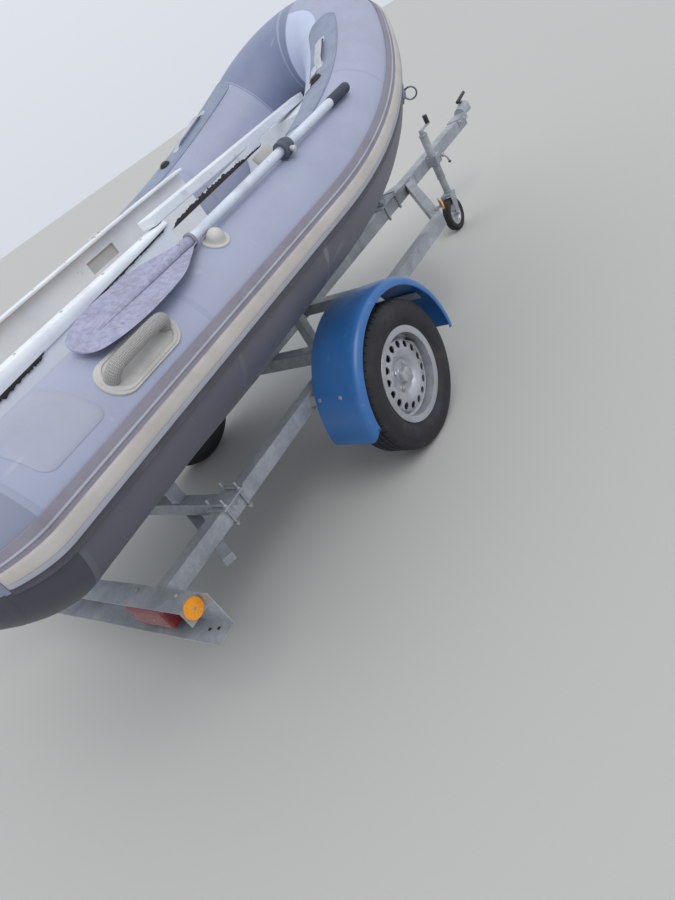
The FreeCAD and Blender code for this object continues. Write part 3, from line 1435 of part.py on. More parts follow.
def boat_on_trailer(shape):
    """Tip a boat piece bow-up and lift it to its height."""
    moved = shape.copy()
    moved.rotate(Vector(0, 0, 0), Vector(0, 1, 0), -BOAT_PITCH_DEG)
    moved.translate(Vector(0, 0, BOAT_AXIS_Z))
    return moved


def main():
    nodes = {name: boat_on_trailer(shape) for name, shape in boat_nodes().items()}
    nodes.update(trailer_nodes(nodes["bunks"].Solids))
    low_x = min(shape.BoundBox.XMin for shape in nodes.values())
    high_x = max(shape.BoundBox.XMax for shape in nodes.values())
    os.makedirs("parts", exist_ok=True)
    for name, shape in nodes.items():
        shape.translate(Vector(-(low_x + high_x) / 2, 0, 0))
        shape.exportStep("parts/" + name + ".step")
        print(name, len(shape.Solids), shape.isValid(), round(shape.Volume / 1e6, 3))
    print("x middle", round((low_x + high_x) / 2, 3))


main()
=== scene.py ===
"""Looks of a small rigid inflatable boat parked on its road trailer, built round the packed model.

Metres, +X forward to the coupling, +Y to port, +Z up. The boat's own frame is level, with z = 0 on the
axis of its side tubes, and row() tips it bow-up onto the trailer.
"""
import math
from itertools import product

import bmesh
import bpy
import numpy as np
from bpy.props import FloatProperty, FloatVectorProperty, IntProperty, PointerProperty
from mathutils import Matrix, Vector


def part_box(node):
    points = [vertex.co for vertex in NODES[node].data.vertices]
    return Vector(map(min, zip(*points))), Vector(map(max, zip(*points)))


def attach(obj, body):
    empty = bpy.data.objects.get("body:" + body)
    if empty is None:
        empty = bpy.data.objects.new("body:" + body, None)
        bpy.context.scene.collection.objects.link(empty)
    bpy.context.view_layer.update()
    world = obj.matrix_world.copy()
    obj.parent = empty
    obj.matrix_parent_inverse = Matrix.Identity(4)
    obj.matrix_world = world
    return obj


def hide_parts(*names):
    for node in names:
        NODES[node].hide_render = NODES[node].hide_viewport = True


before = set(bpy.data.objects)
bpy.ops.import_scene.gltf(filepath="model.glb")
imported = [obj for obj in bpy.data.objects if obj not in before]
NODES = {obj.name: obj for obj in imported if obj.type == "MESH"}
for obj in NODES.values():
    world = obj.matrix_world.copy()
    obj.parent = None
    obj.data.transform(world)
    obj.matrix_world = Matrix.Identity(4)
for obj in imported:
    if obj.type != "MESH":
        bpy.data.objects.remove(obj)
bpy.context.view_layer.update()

bl_info = {
    "name": "Inflatable Boat on Trailer",
    "version": (1, 0, 0),
    "blender": (4, 5, 0),
    "location": "3D View > Sidebar > Boat",
    "description": "Finishes a rigid inflatable boat and its road trailer round the packed model",
    "category": "Object",
}

# Boat tubes, the same values as the solids have
TUBE_R = 0.207
TUBE_Y = 0.610
BEND_X = 0.017
BOW_LENGTH = 1.446
BOW_RISE = 0.318
NOSE_TANGENT = 0.213
STERN_X = -1.327
CONE_L = 0.262
CONE_DROP = 0.130
CONE_OUT = 0.020
CONE_LIFT = 0.062
BOAT_PITCH = math.radians(1.95)
BOAT_AXIS_Z = 0.943

# Photograph's camera, in the trailer's frame with x = 0 at the wheel axle
CAMERA_AT = (-1.7668, -2.1785, 1.4450)
CAMERA_YAW = 0.84746
CAMERA_DOWN = 0.51367
CAMERA_ROLL = 0.58582
PHOTO_FOCAL_PX = 674.5
PHOTO_HEIGHT_PX = 900
SENSOR_MM = 36.0
GROUND_REACH = 30.0

# Places on the trailer from the wheel axle on the ground, where its bolts, welds and lamps meet the solids
REAR_CROSS_X = -0.810
FRONT_CROSS_X = 0.450
AXLE_PLATE_X = 0.125
RAIL_BEND_X = 1.033
BOW_SUPPORT_X = 1.460
RAIL_MEET_X = 1.815
DRAWBAR_FRONT_X = 2.690
RAIL_Y = 0.551
CLAMP_Y = 0.526
RAIL_END_Y = 0.5008
RAIL_TOP_Z = 0.463
DRAWBAR_TOP_Z = 0.473
BOARD_BACK_X = -1.1553
BRACKET_AHEAD = 0.075
LAMP_Y = 0.468
LAMP_Z = 0.3965
LAMP_HALF_L = 0.0945
LAMP_OUTER_Y = 0.566
LAMP_BASE_L = 0.196

SIDES = (1, -1)
SIDE_NAMES = ((1, "port"), (-1, "starboard"))
WELD_DISTANCE = 2e-6
WEAVE_PITCH = 0.0014

# Finishes by slot name and shared node groups by key, filled by the operators
FINISH = {}
SHARED = {}


def middle(node):
    """Centre of a node's box."""
    low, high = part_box(node)
    return (low + high) / 2


AXLE_X = middle("tyre_port").x


def srgb(red, green, blue):
    """Linear colour of an 8-bit display colour."""
    value = np.array([red, green, blue]) / 255
    linear = np.where(value <= 0.04045, value / 12.92, ((value + 0.055) / 1.055) ** 2.4)
    return tuple(float(v) for v in linear)


def rgba(display):
    """Linear colour with full alpha of an 8-bit display colour."""
    return (*srgb(*display), 1)


def unit(vectors):
    """Vectors along the last axis, each divided by its length."""
    vectors = np.asarray(vectors, float)
    return vectors / np.maximum(np.linalg.norm(vectors, axis=-1, keepdims=True), 1e-12)


def row(points):
    """Boat frame to the packed frame: turned bow-up about +Y, lifted, and shifted to the axle's x."""
    points = np.asarray(points, float)
    x, y, z = points[..., 0], points[..., 1], points[..., 2]
    c, s = math.cos(BOAT_PITCH), math.sin(BOAT_PITCH)
    return np.stack([x * c - z * s + AXLE_X, y, BOAT_AXIS_Z + x * s + z * c], -1)


def trailer(x, y, z):
    """Point given from the wheel axle on the ground, in the packed frame."""
    return np.array([x + AXLE_X, y, z])


class Bend:
    """Planar arc of the tube axis between two points with their tangents."""

    def __init__(self, start, tangent, end, end_tangent):
        self.turn = math.acos(float(np.dot(tangent, end_tangent)))
        self.axis = unit(np.cross(tangent, end_tangent))
        self.radius = np.linalg.norm(end - start) / (2 * math.sin(self.turn / 2))
        self.centre = start + np.cross(self.axis, tangent) * self.radius
        self.length = self.radius * self.turn

    def carry(self, points, angle):
        """Points turned about the arc's axis by an angle each: the parallel part stays, the rest turns."""
        offset = points - self.centre
        cosine, sine = np.cos(angle)[..., None], np.sin(angle)[..., None]
        along = (offset @ self.axis)[..., None] * self.axis
        return self.centre + along + (offset - along) * cosine + np.cross(self.axis, offset) * sine


def bow_bends():
    """Shoulder and nose arcs, tangent to each other, from the straight tube to the centre plane."""
    start = np.array([BEND_X, TUBE_Y, 0.0])
    nose = np.array([BEND_X + BOW_LENGTH, 0.0, BOW_RISE])
    ahead = np.array([1.0, 0.0, 0.0])
    across = np.array([0.0, -1.0, 0.0])
    span = nose - start
    reach = (span @ span - 2 * NOSE_TANGENT * (span @ across)) / (2 * span @ ahead + 2 * NOSE_TANGENT)
    first = start + ahead * reach
    last = nose - across * NOSE_TANGENT
    joint = (first * NOSE_TANGENT + last * reach) / (reach + NOSE_TANGENT)
    tangent = unit(last - first)
    return Bend(start, ahead, joint, tangent), Bend(joint, tangent, nose, across)


SHOULDER, NOSE = bow_bends()
STERN_S = STERN_X - BEND_X
CONE_END_S = STERN_S - CONE_L
NOSE_S = SHOULDER.length + NOSE.length


def skin(s, angle, height=0.0, side=1):
    """Point of a side tube's skin in the packed frame.

    s is the distance along the axis from the bend, angle runs in degrees from straight up to outboard.
    The section is a circle; behind the stern its radius falls with the square of the distance while its
    centre moves out and up, and ahead of the bend it turns about the two arcs' axes.
    """
    s, angle, height = np.broadcast_arrays(np.asarray(s, float), angle, height)
    back = np.clip((STERN_S - s) / CONE_L, 0, 1)
    radius = TUBE_R - CONE_DROP * back ** 2 + height
    turn = np.radians(angle)
    points = np.stack([
        BEND_X + np.minimum(s, 0),
        TUBE_Y + CONE_OUT * back ** 1.3 + radius * np.sin(turn),
        CONE_LIFT * back ** 1.7 + radius * np.cos(turn),
    ], -1)
    points = SHOULDER.carry(points, np.clip(s, 0, SHOULDER.length) / SHOULDER.radius)
    points = NOSE.carry(points, np.clip(s - SHOULDER.length, 0, NOSE.length) / NOSE.radius)
    points[..., 1] *= side
    return row(points)


def laid(points, s, angle, side=1):
    """Local points (along, outboard, out of the skin) bent round the tube at s and angle."""
    points = np.asarray(points, float)
    wrap = np.degrees(points[..., 1] / TUBE_R)
    return skin(s + points[..., 0], angle + wrap, points[..., 2], side)


def on_skin(s, angle, side):
    """Placing function that bends local points round the tube at s and angle."""
    return lambda points: laid(points, s, angle, side)


def level(flat, height):
    """Flat points (n, 2) lifted to a height."""
    return np.column_stack([flat, np.full(len(flat), height)])


def set_on(points, s, angle, side=1):
    """Local points (along, outboard, out of the skin) set stiffly on the tube at s and angle."""
    origin, ahead, out = skin([s, s + 0.001, s], angle, [0.0, 0.0, 0.001])
    x_axis = unit(ahead - origin)
    z_axis = unit(out - origin)
    y_axis = np.cross(z_axis, x_axis)
    points = np.asarray(points, float)
    placed = origin + points[..., :1] * x_axis + points[..., 1:2] * y_axis + points[..., 2:3] * z_axis
    placed[..., 1] *= side
    return placed


class Shell:
    """Surfaces gathered into one mesh: points, faces, a UV pair for each face corner, a material number."""

    def __init__(self):
        self.points = []
        self.faces = []
        self.corners = []
        self.marks = []
        self.count = 0

    def add(self, points, faces, pairs, mark):
        """Points (n, 3), faces as lists of point numbers, and UV pairs for each face corner in a row."""
        points = np.asarray(points, float).reshape(-1, 3)
        faces = [[corner + self.count for corner in face] for face in faces]
        self.points.append(points)
        self.faces.extend(faces)
        self.corners.append(pairs)
        given = np.ravel(mark).tolist()
        self.marks.extend(given + [given[-1]] * (len(faces) - len(given)))
        self.count += len(points)

    def grid(self, points, close_u=False, close_v=False, mark=0, u=None, v=None, cap=""):
        """Grid of points (rows, columns, 3) as quads; cap closes the first, last or both rows' ends."""
        rows, columns = points.shape[:2]
        i, j = np.meshgrid(np.arange(rows - (not close_u)), np.arange(columns - (not close_v)), indexing="ij")
        i, j = i.ravel(), j.ravel()
        i1, j1 = i + 1, j + 1
        wrap_i, wrap_j = i1 % rows, j1 % columns
        quads = np.stack([i * columns + j, wrap_i * columns + j, wrap_i * columns + wrap_j, i * columns + wrap_j], -1)
        u = np.linspace(0, 1, rows + close_u) if u is None else np.asarray(u, float)
        v = np.linspace(0, 1, columns + close_v) if v is None else np.asarray(v, float)
        pairs = np.stack([u[i], v[j], u[i1], v[j], u[i1], v[j1], u[i], v[j1]], -1).reshape(-1, 2)
        faces = quads.tolist()
        if "first" in cap or "both" in cap:
            faces.append(list(range(columns))[::-1])
            pairs = np.vstack([pairs, np.stack([np.full(columns, u[0]), v[:columns]], -1)[::-1]])
        if "last" in cap or "both" in cap:
            start = (rows - 1) * columns
            faces.append(list(range(start, start + columns)))
            pairs = np.vstack([pairs, np.stack([np.full(columns, u[rows - 1]), v[:columns]], -1)])
        self.add(points, faces, pairs, mark)

    def make(self, name, finishes, slot, replaces="", sharp=38.0, body="trailer"):
        """The finished piece: doubles merged, faces turned outwards, smooth with sharp edges by angle.

        finishes names the materials by mark, and replaces the CAD nodes, with spaces between the names.
        """
        mesh = bpy.data.meshes.new(name)
        mesh.from_pydata(np.vstack(self.points).tolist(), [], self.faces)
        mesh.uv_layers.new(name="skin").data.foreach_set("uv", np.vstack(self.corners).ravel())
        mesh.polygons.foreach_set("material_index", self.marks)
        for finish in finishes.split():
            mesh.materials.append(FINISH[finish])
        tidy = bmesh.new()
        tidy.from_mesh(mesh)
        bmesh.ops.remove_doubles(tidy, verts=tidy.verts, dist=WELD_DISTANCE)
        bmesh.ops.recalc_face_normals(tidy, faces=tidy.faces)
        tidy.to_mesh(mesh)
        tidy.free()
        mesh.shade_smooth()
        mesh.set_sharp_from_angle(angle=math.radians(sharp))
        piece = bpy.data.objects.new(name, mesh)
        bpy.context.scene.collection.objects.link(piece)
        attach(piece, body)
        if replaces:
            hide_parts(*replaces.split())


def circle(radius, count=24):
    """Round profile."""
    turn = np.linspace(0, 2 * np.pi, count, endpoint=False)
    return np.stack([np.cos(turn), np.sin(turn)], -1) * radius


def rounded(width, height, radius, steps=3):
    """Rectangle with a quarter circle at each corner, as a profile."""
    radius = min(radius, width / 2 - 1e-5, height / 2 - 1e-5)
    turn = np.linspace(0, np.pi / 2, steps + 1)
    quarter = np.stack([np.cos(turn), np.sin(turn)], -1) * radius
    points = []
    for index, (sign_x, sign_y) in enumerate(((1, 1), (-1, 1), (-1, -1), (1, -1))):
        c, s = math.cos(index * math.pi / 2), math.sin(index * math.pi / 2)
        turned = quarter @ np.array([[c, s], [-s, c]])
        points.append(turned + [sign_x * (width / 2 - radius), sign_y * (height / 2 - radius)])
    return np.vstack(points)


def carried(profile, path, up, scale=None, closed=False):
    """Profile (across, up) placed at each point of a path: across is the tangent crossed with up."""
    path = np.asarray(path, float)
    if closed:
        tangent = unit(np.roll(path, -1, axis=0) - np.roll(path, 1, axis=0))
    else:
        tangent = unit(np.gradient(path, axis=0))
    across = unit(np.cross(tangent, np.broadcast_to(up, path.shape)))
    upward = np.cross(across, tangent)
    scale = np.ones(len(path)) if scale is None else np.asarray(scale, float)
    profile = np.asarray(profile, float)[None] * scale[:, None, None]
    return path[:, None] + profile[..., :1] * across[:, None] + profile[..., 1:2] * upward[:, None]


def smooth_path(points, count):
    """Even line through given points: Catmull-Rom cubics between them."""
    points = np.asarray(points, float)
    padded = np.vstack([2 * points[0] - points[1], points, 2 * points[-1] - points[-2]])
    spans = len(points) - 1
    t = np.linspace(0, spans, count)
    k = np.minimum(t.astype(int), spans - 1)
    f = (t - k)[:, None]
    a, b, c, d = padded[k], padded[k + 1], padded[k + 2], padded[k + 3]
    return 0.5 * (2 * b + (c - a) * f + (2 * a - 5 * b + 4 * c - d) * f ** 2 + (3 * b - a - 3 * c + d) * f ** 3)


def bar(shell, start, end, profile, up=(0, 0, 1), edge=0.001, mark=0):
    """Straight bar of a profile with small chamfers at both ends."""
    start, end = np.asarray(start, float), np.asarray(end, float)
    run = unit(end - start)
    shrink = 1 - edge / np.abs(profile).max()
    path = np.array([start, start + run * edge, end - run * edge, end])
    across = unit(np.cross(run, up))
    upward = np.cross(across, run)
    scale = np.array([shrink, 1, 1, shrink])[:, None, None]
    points = path[:, None] + profile[None, :, :1] * scale * across + profile[None, :, 1:] * scale * upward
    shell.grid(points, close_v=True, mark=mark, cap="both")


def block(shell, low, high, radius=0.002, mark=0):
    """Rounded block between two corners: a rounded rectangle carried along the longest side."""
    low, high = np.asarray(low, float), np.asarray(high, float)
    size = high - low
    centre = (low + high) / 2
    long = int(np.argmax(size))
    run = np.eye(3)[long]
    up = np.eye(3)[2 if long != 2 else 1]
    across = np.cross(run, up)
    width = abs(size @ np.abs(across))
    height = abs(size @ up)
    bar(shell, centre - run * size[long] / 2, centre + run * size[long] / 2,
        rounded(width, height, radius), up, min(radius, size[long] / 3), mark)


def pipe(shell, path, radius, count, up, scale=None):
    """Round bar along a path."""
    shell.grid(carried(circle(radius, count), path, up, scale), close_v=True, cap="both")


def turned(shell, profile, origin, axis, count=32, mark=0, phase=0.0, close_v=False):
    """Surface of revolution of (radius, along) pairs about an axis through the origin."""
    axis = unit(axis)
    helper = np.array([1.0, 0, 0]) if abs(axis[0]) < 0.9 else np.array([0, 1.0, 0])
    first = unit(np.cross(axis, helper))
    second = np.cross(axis, first)
    turn = np.linspace(0, 2 * np.pi, count, endpoint=False) + phase
    profile = np.asarray(profile, float)
    ring = np.cos(turn)[:, None, None] * first + np.sin(turn)[:, None, None] * second
    points = np.asarray(origin, float) + ring * profile[None, :, :1] + profile[None, :, 1:2] * axis
    shell.grid(points, close_u=True, close_v=close_v, mark=mark)


def bolt(shell, origin, axis, size=0.008, length=0.0, mark=0, turn=0.3):
    """Hexagon bolt head on a washer, its axis out of the surface; length gives a threaded end beyond."""
    r = size * 0.9
    turned(shell, [(0, 0), (r * 1.35, 0), (r * 1.35, size * 0.18), (r * 1.2, size * 0.22), (0, size * 0.22)],
           origin, axis, 20, mark)
    turned(shell, [(0, size * 0.2), (r, size * 0.2), (r, size * 0.75), (r * 0.86, size * 0.9), (0, size * 0.9)],
           origin, axis, 6, mark, turn)
    if length:
        turned(shell, [(0, 0), (size * 0.5, 0), (size * 0.5, length * 0.95), (size * 0.42, length), (0, length)],
               origin, axis, 14, mark)


# Socket types by how many numbers a value has
SOCKETS = {1: "NodeSocketFloat", 3: "NodeSocketVector", 4: "NodeSocketColor"}
ORIGIN = (0, 0, 0)


class Tree:
    """Short way to add nodes to a node tree and link them."""

    def __init__(self, tree):
        self.tree = tree

    def feed(self, node, inputs):
        """Gives each socket a value or another node's output."""
        for key, value in inputs.items():
            if isinstance(value, bpy.types.NodeSocket):
                self.tree.links.new(value, node.inputs[key])
            else:
                node.inputs[key].default_value = value

    def add(self, kind, inputs=None, **settings):
        """Outputs of a new node of a kind, set up before its sockets are fed."""
        node = self.tree.nodes.new("ShaderNode" + kind)
        for name, value in settings.items():
            setattr(node, name, value)
        self.feed(node, inputs or {})
        return node.outputs

    def shared(self, key, **inputs):
        """Outputs of a shared node group."""
        return self.add("Group", inputs, node_tree=SHARED[key])

    def math(self, operation, first, second=0.5, third=0.5):
        """Output of a math node."""
        return self.add("Math", {0: first, 1: second, 2: third}, operation=operation)[0]

    def mix(self, factor, first, second):
        """Output of a colour mix."""
        return self.add("Mix", {"Factor": factor, 6: first, 7: second}, data_type="RGBA")[2]

    def fractal(self, place, scale, detail, roughness, output="Fac"):
        """Output of a fractal noise."""
        return self.add("TexNoise", {"Vector": place, "Scale": scale, "Detail": detail, "Roughness": roughness})[output]

    def span(self, value, low=0.0, high=1.0, to_low=0.0, to_high=1.0, kind="LINEAR"):
        """One span of values mapped to another."""
        return self.add("MapRange", {"Value": value, "From Min": low, "From Max": high, "To Min": to_low,
                                     "To Max": to_high}, interpolation_type=kind)[0]

    def close(self, **outputs):
        """The finished node group, each of its outputs fed by a node's output."""
        for label in outputs:
            self.tree.interface.new_socket(label, in_out="OUTPUT", socket_type=SOCKETS[4 if label == "Color" else 1])
        end = self.tree.nodes.new("NodeGroupOutput")
        self.feed(end, outputs)
        return self.tree


def group(name, **inputs):
    """Tree helper of a new node group and the values given to it, each with its default."""
    tree = Tree(bpy.data.node_groups.new(name, "ShaderNodeTree"))
    for label, value in inputs.items():
        socket = tree.tree.interface.new_socket(label, in_out="INPUT", socket_type=SOCKETS[np.size(value)])
        socket.default_value = value
    return tree, tree.tree.nodes.new("NodeGroupInput").outputs


def cloudy_group():
    """Soft-edged blotches: fractal noise between two limits, smoothly stepped."""
    tree, given = group("Cloudy Mask", Vector=ORIGIN, Scale=5, Low=0.4, High=0.7)
    noise = tree.fractal(given["Vector"], given["Scale"], 6.0, 0.6)
    return tree.close(Mask=tree.span(noise, given["Low"], given["High"], kind="SMOOTHSTEP"))


def weave_group():
    """Plain weave height: threads rise by turns along the two directions of the skin's own metres."""
    tree, given = group("Weave", Vector=ORIGIN, Pitch=0.0012)
    split = tree.add("SeparateXYZ", {0: given["Vector"]})
    waves = []
    for axis in (0, 1):
        phase = tree.math("DIVIDE", split[axis], given["Pitch"])
        waves.append(tree.math("SINE", tree.math("MULTIPLY", phase, 2 * math.pi)))
    return tree.close(Height=tree.math("MULTIPLY_ADD", tree.math("MULTIPLY", *waves), 0.5, 0.5))


def dirt_group():
    """Dirt that settles on upward faces and in blotches; gives the colour and how much lies there."""
    tree, given = group("Settled Dirt", Vector=ORIGIN, Color=(0.5, 0.5, 0.5, 1), Dirt=(0.12, 0.1, 0.08, 1),
                        Amount=0.4, Scale=6)
    blotch = tree.shared("cloudy", Vector=given["Vector"], Scale=given["Scale"])["Mask"]
    fine = tree.fractal(given["Vector"], 90.0, 4.0, 0.7)
    upward = tree.add("SeparateXYZ", {0: tree.add("NewGeometry")["Normal"]})[2]
    lying = tree.math("MULTIPLY_ADD", tree.math("MAXIMUM", upward, 0.0), 0.65, 0.35)
    mask = tree.math("MULTIPLY", tree.math("MULTIPLY", blotch, lying), tree.math("MULTIPLY_ADD", fine, 1.2, 0.1))
    amount = tree.math("MINIMUM", tree.math("MULTIPLY", mask, given["Amount"]), 1.0)
    return tree.close(Color=tree.mix(amount, given["Color"], given["Dirt"]), Mask=amount)


def scuff_group():
    """Fine scratches: noise drawn out along two directions, only its crests kept."""
    tree, given = group("Scuffs", Vector=ORIGIN, Scale=30, Stretch=12, Cut=0.66)
    masks = []
    for turn in (0.4, 1.9):
        spun = tree.add("VectorRotate", {"Vector": given["Vector"], "Angle": turn, "Axis": (0.3, 0.5, 0.8)})[0]
        squeeze = tree.add("CombineXYZ", {0: given["Stretch"], 1: 1.0, 2: 1.0})[0]
        drawn = tree.add("VectorMath", {0: spun, 1: squeeze}, operation="MULTIPLY")[0]
        noise = tree.fractal(drawn, given["Scale"], 2.0, 0.5)
        masks.append(tree.span(noise, given["Cut"], tree.math("ADD", given["Cut"], 0.06), kind="SMOOTHSTEP"))
    return tree.close(Mask=tree.math("MAXIMUM", *masks))


def spangle_group():
    """Galvanised crystal pattern: Voronoi cells, each with a shade of its own, and dull cloudy patches."""
    tree, given = group("Spangle", Vector=ORIGIN, Scale=90)
    bent = tree.fractal(given["Vector"], 40.0, 2.0, 0.5, "Color")
    moved = tree.add("Mix", {"Factor": 0.012, 4: given["Vector"], 5: bent}, data_type="VECTOR")[1]
    cells = tree.add("TexVoronoi", {"Vector": moved, "Scale": given["Scale"]})["Color"]
    shade = tree.add("SeparateColor", {0: cells})[0]
    return tree.close(Shade=shade, Cloud=tree.fractal(given["Vector"], 7.0, 5.0, 0.65))


def shared_groups():
    """The node groups that the materials share."""
    for key, build in (("cloudy", cloudy_group), ("weave", weave_group), ("dirt", dirt_group),
                       ("scuffs", scuff_group), ("spangle", spangle_group)):
        SHARED[key] = build()


class Coat(Tree):
    """A material under construction: one Principled shader with its colour, roughness and height fed in."""

    def __init__(self, name, color, roughness, metallic=0.0, specular=0.5, coat=0.0):
        self.material = bpy.data.materials.new(name)
        self.material.use_nodes = True
        super().__init__(self.material.node_tree)
        self.color = rgba(color)
        self.material.diffuse_color = self.color
        self.shader = self.tree.nodes["Principled BSDF"]
        self.feed(self.shader, {"Roughness": roughness, "Metallic": metallic, "Specular IOR Level": specular,
                                "Coat Weight": coat, "Coat Roughness": 0.2, "Base Color": self.color})
        coordinates = self.add("TexCoord")
        self.place, self.uv = coordinates["Object"], coordinates["UV"]

    def tint(self, mask, strength, other):
        """Mixes a second display colour in by a mask."""
        self.color = self.mix(self.math("MULTIPLY", mask, strength), self.color, rgba(other))

    def blotches(self, other, scale, low, high, strength):
        """Mixes a second colour in soft blotches."""
        self.tint(self.shared("cloudy", Vector=self.place, Scale=scale, Low=low, High=high)["Mask"], strength, other)

    def scuffs(self, other, scale, stretch, cut, strength):
        """Mixes a scratch colour along fine scuffs."""
        self.tint(self.shared("scuffs", Vector=self.place, Scale=scale, Stretch=stretch, Cut=cut)["Mask"], strength,
                  other)

    def dirt(self, other, amount, scale):
        """Settled dirt over the colour; returns its mask."""
        node = self.shared("dirt", Vector=self.place, Color=self.color, Dirt=rgba(other), Amount=amount, Scale=scale)
        self.color = node["Color"]
        return node["Mask"]

    def rough(self, mask, low, high):
        """Roughness between two values by a mask."""
        self.feed(self.shader, {"Roughness": self.span(mask, to_low=low, to_high=high)})

    def noise(self, scale, detail=5.0, roughness=0.6):
        """Fractal noise in the object's own metres."""
        return self.fractal(self.place, scale, detail, roughness)

    def done(self, height, strength, distance):
        """The finished material, with a height for its bumps."""
        bump = self.add("Bump", {"Strength": strength, "Distance": distance, "Height": height})[0]
        self.feed(self.shader, {"Normal": bump, "Base Color": self.color})
        return self.material


def fabric(name, color, dark, dirt):
    """Coated tube fabric: a faint weave, slow shade changes, dust on top and light scuffs."""
    coat = Coat(name, color, 0.42, specular=0.4)
    coat.blotches(dark, 2.2, 0.42, 0.72, 0.5)
    coat.scuffs((206, 211, 220), 16.0, 0.12, 0.69, 0.16)
    coat.rough(coat.dirt(dirt, 0.24, 5.0), 0.4, 0.75)
    threads = coat.shared("weave", Vector=coat.uv, Pitch=WEAVE_PITCH)["Height"]
    return coat.done(coat.math("MULTIPLY_ADD", threads, 0.12, coat.noise(3.0, 3.0)), 0.28, 0.004)


def rubber(name, color, light, scale=14.0, roughness=0.7):
    """Black or grey rubber, chalky in blotches."""
    coat = Coat(name, color, roughness, specular=0.35)
    coat.blotches(light, scale, 0.45, 0.75, 0.6)
    coat.rough(coat.dirt((96, 93, 94), 0.25, 9.0), roughness - 0.1, 0.9)
    return coat.done(coat.noise(220.0, 4.0), 0.12, 0.001)


def moulded(name, color, dark, dirt, roughness=0.38, grain=160.0):
    """Moulded plastic with a fine grain, weather stains and scratches."""
    coat = Coat(name, color, roughness)
    coat.blotches(dark, 5.0, 0.42, 0.75, 0.4)
    coat.scuffs(dark, 22.0, 0.1, 0.68, 0.3)
    coat.rough(coat.dirt(dirt, 0.6, 8.0), roughness, 0.8)
    return coat.done(coat.noise(grain, 3.0), 0.08, 0.001)


def dotted_grip():
    """Cream moulding with rows of raised dots, laid out in the skin's own metres."""
    coat = Coat("Cream Grip", (190, 189, 189), 0.5)
    coat.blotches((172, 168, 162), 9.0, 0.42, 0.75, 0.5)
    coat.dirt((112, 106, 100), 0.4, 9.0)
    dots = coat.add("TexVoronoi", {"Vector": coat.uv, "Scale": 210.0, "Randomness": 0.0})["Distance"]
    bead = coat.span(dots, 0.3, 0.48, 1.0, 0.0)
    coat.color = coat.mix(bead, rgba((163, 161, 159)), coat.color)
    return coat.done(bead, 1.0, 0.003)


def galvanised():
    """Hot-dip zinc gone dull: spangles, pale and dark clouds, rust specks at the edges of the clouds."""
    coat = Coat("Galvanised Steel", DISPLAY["zinc"], 0.5, 0.2)
    spangle = coat.shared("spangle", Vector=coat.place, Scale=85.0)
    coat.color = coat.mix(coat.span(spangle["Shade"], to_high=0.5), coat.color, rgba((188, 193, 199)))
    coat.color = coat.mix(coat.span(spangle["Cloud"], 0.38, 0.68), coat.color, rgba((136, 141, 149)))
    coat.blotches((146, 120, 98), 26.0, 0.70, 0.80, 0.4)
    mask = coat.dirt((116, 110, 104), 0.35, 10.0)
    rough = coat.math("MULTIPLY_ADD", spangle["Cloud"], 0.5, 0.25)
    coat.rough(coat.math("MAXIMUM", rough, mask), 0.28, 0.72)
    return coat.done(coat.math("MULTIPLY_ADD", coat.noise(60.0), 0.6, spangle["Shade"]), 0.1, 0.0012)


def polished(name, color, dark, roughness=0.32, scale=12.0, metallic=0.9):
    """Bare or painted metal with dull clouds and road dirt."""
    coat = Coat(name, color, roughness, metallic)
    coat.blotches(dark, scale, 0.42, 0.75, 0.6)
    coat.scuffs(dark, 40.0, 0.08, 0.66, 0.4)
    coat.rough(coat.dirt((104, 98, 94), 0.35, 14.0), roughness, 0.7)
    return coat.done(coat.noise(120.0), 0.08, 0.001)


def lens(name, color, prism_sheen):
    """Coloured lamp plastic, clear-coated, with a fine prism grain underneath and a brighter colour painted in its
    prism cells as their sheen.
    """
    coat = Coat(name, color, 0.25, coat=0.25)
    cells = coat.add("TexVoronoi", {"Vector": coat.place, "Scale": 150.0})["Distance"]
    # Brighter colour in the prism cells: painted sheen of the prisms
    coat.tint(cells, 0.8, prism_sheen)
    coat.rough(coat.dirt((60, 50, 44), 0.3, 16.0), 0.2, 0.7)
    return coat.done(cells, 0.25, 0.0008)


def painted(name, color, dark, chips):
    """Gloss paint on sheet metal, faded in clouds, chipped and dusty."""
    coat = Coat(name, color, 0.35, coat=0.25)
    coat.blotches(dark, 6.0, 0.4, 0.75, 0.6)
    coat.scuffs((110, 150, 200), 30.0, 0.1, 0.69, 0.25)
    coat.blotches(chips, 34.0, 0.72, 0.78, 0.5)
    coat.rough(coat.dirt((70, 84, 104), 0.3, 7.0), 0.32, 0.8)
    return coat.done(coat.noise(50.0), 0.1, 0.0012)


def gelcoat_worn():
    """White gelcoat gone chalky, with grey runs of dirt and dark chips at random places."""
    coat = Coat("Gelcoat", DISPLAY["gelcoat"], 0.3)
    coat.blotches((206, 213, 226), 4.0, 0.42, 0.75, 0.45)
    coat.scuffs((160, 160, 164), 18.0, 0.12, 0.70, 0.3)
    coat.blotches((84, 78, 76), 42.0, 0.74, 0.77, 0.8)
    coat.rough(coat.dirt((134, 130, 126), 0.4, 7.0), 0.3, 0.8)
    return coat.done(coat.noise(120.0, 3.0), 0.08, 0.001)


def weathered_blade():
    """Blade plastic weathered to a mottled grey violet, its surface pitted and streaked along its length."""
    coat = Coat("Oar Blade Plastic", DISPLAY["blade"], 0.62, specular=0.35)
    coat.blotches((136, 136, 160), 60.0, 0.42, 0.60, 0.6)
    coat.blotches((172, 174, 198), 38.0, 0.50, 0.68, 0.5)
    coat.blotches((104, 100, 118), 95.0, 0.60, 0.70, 0.6)
    coat.scuffs((182, 186, 206), 30.0, 0.1, 0.67, 0.3)
    coat.rough(coat.dirt((118, 112, 124), 0.35, 12.0), 0.55, 0.9)
    return coat.done(coat.noise(90.0, 6.0, 0.7), 0.35, 0.0012)


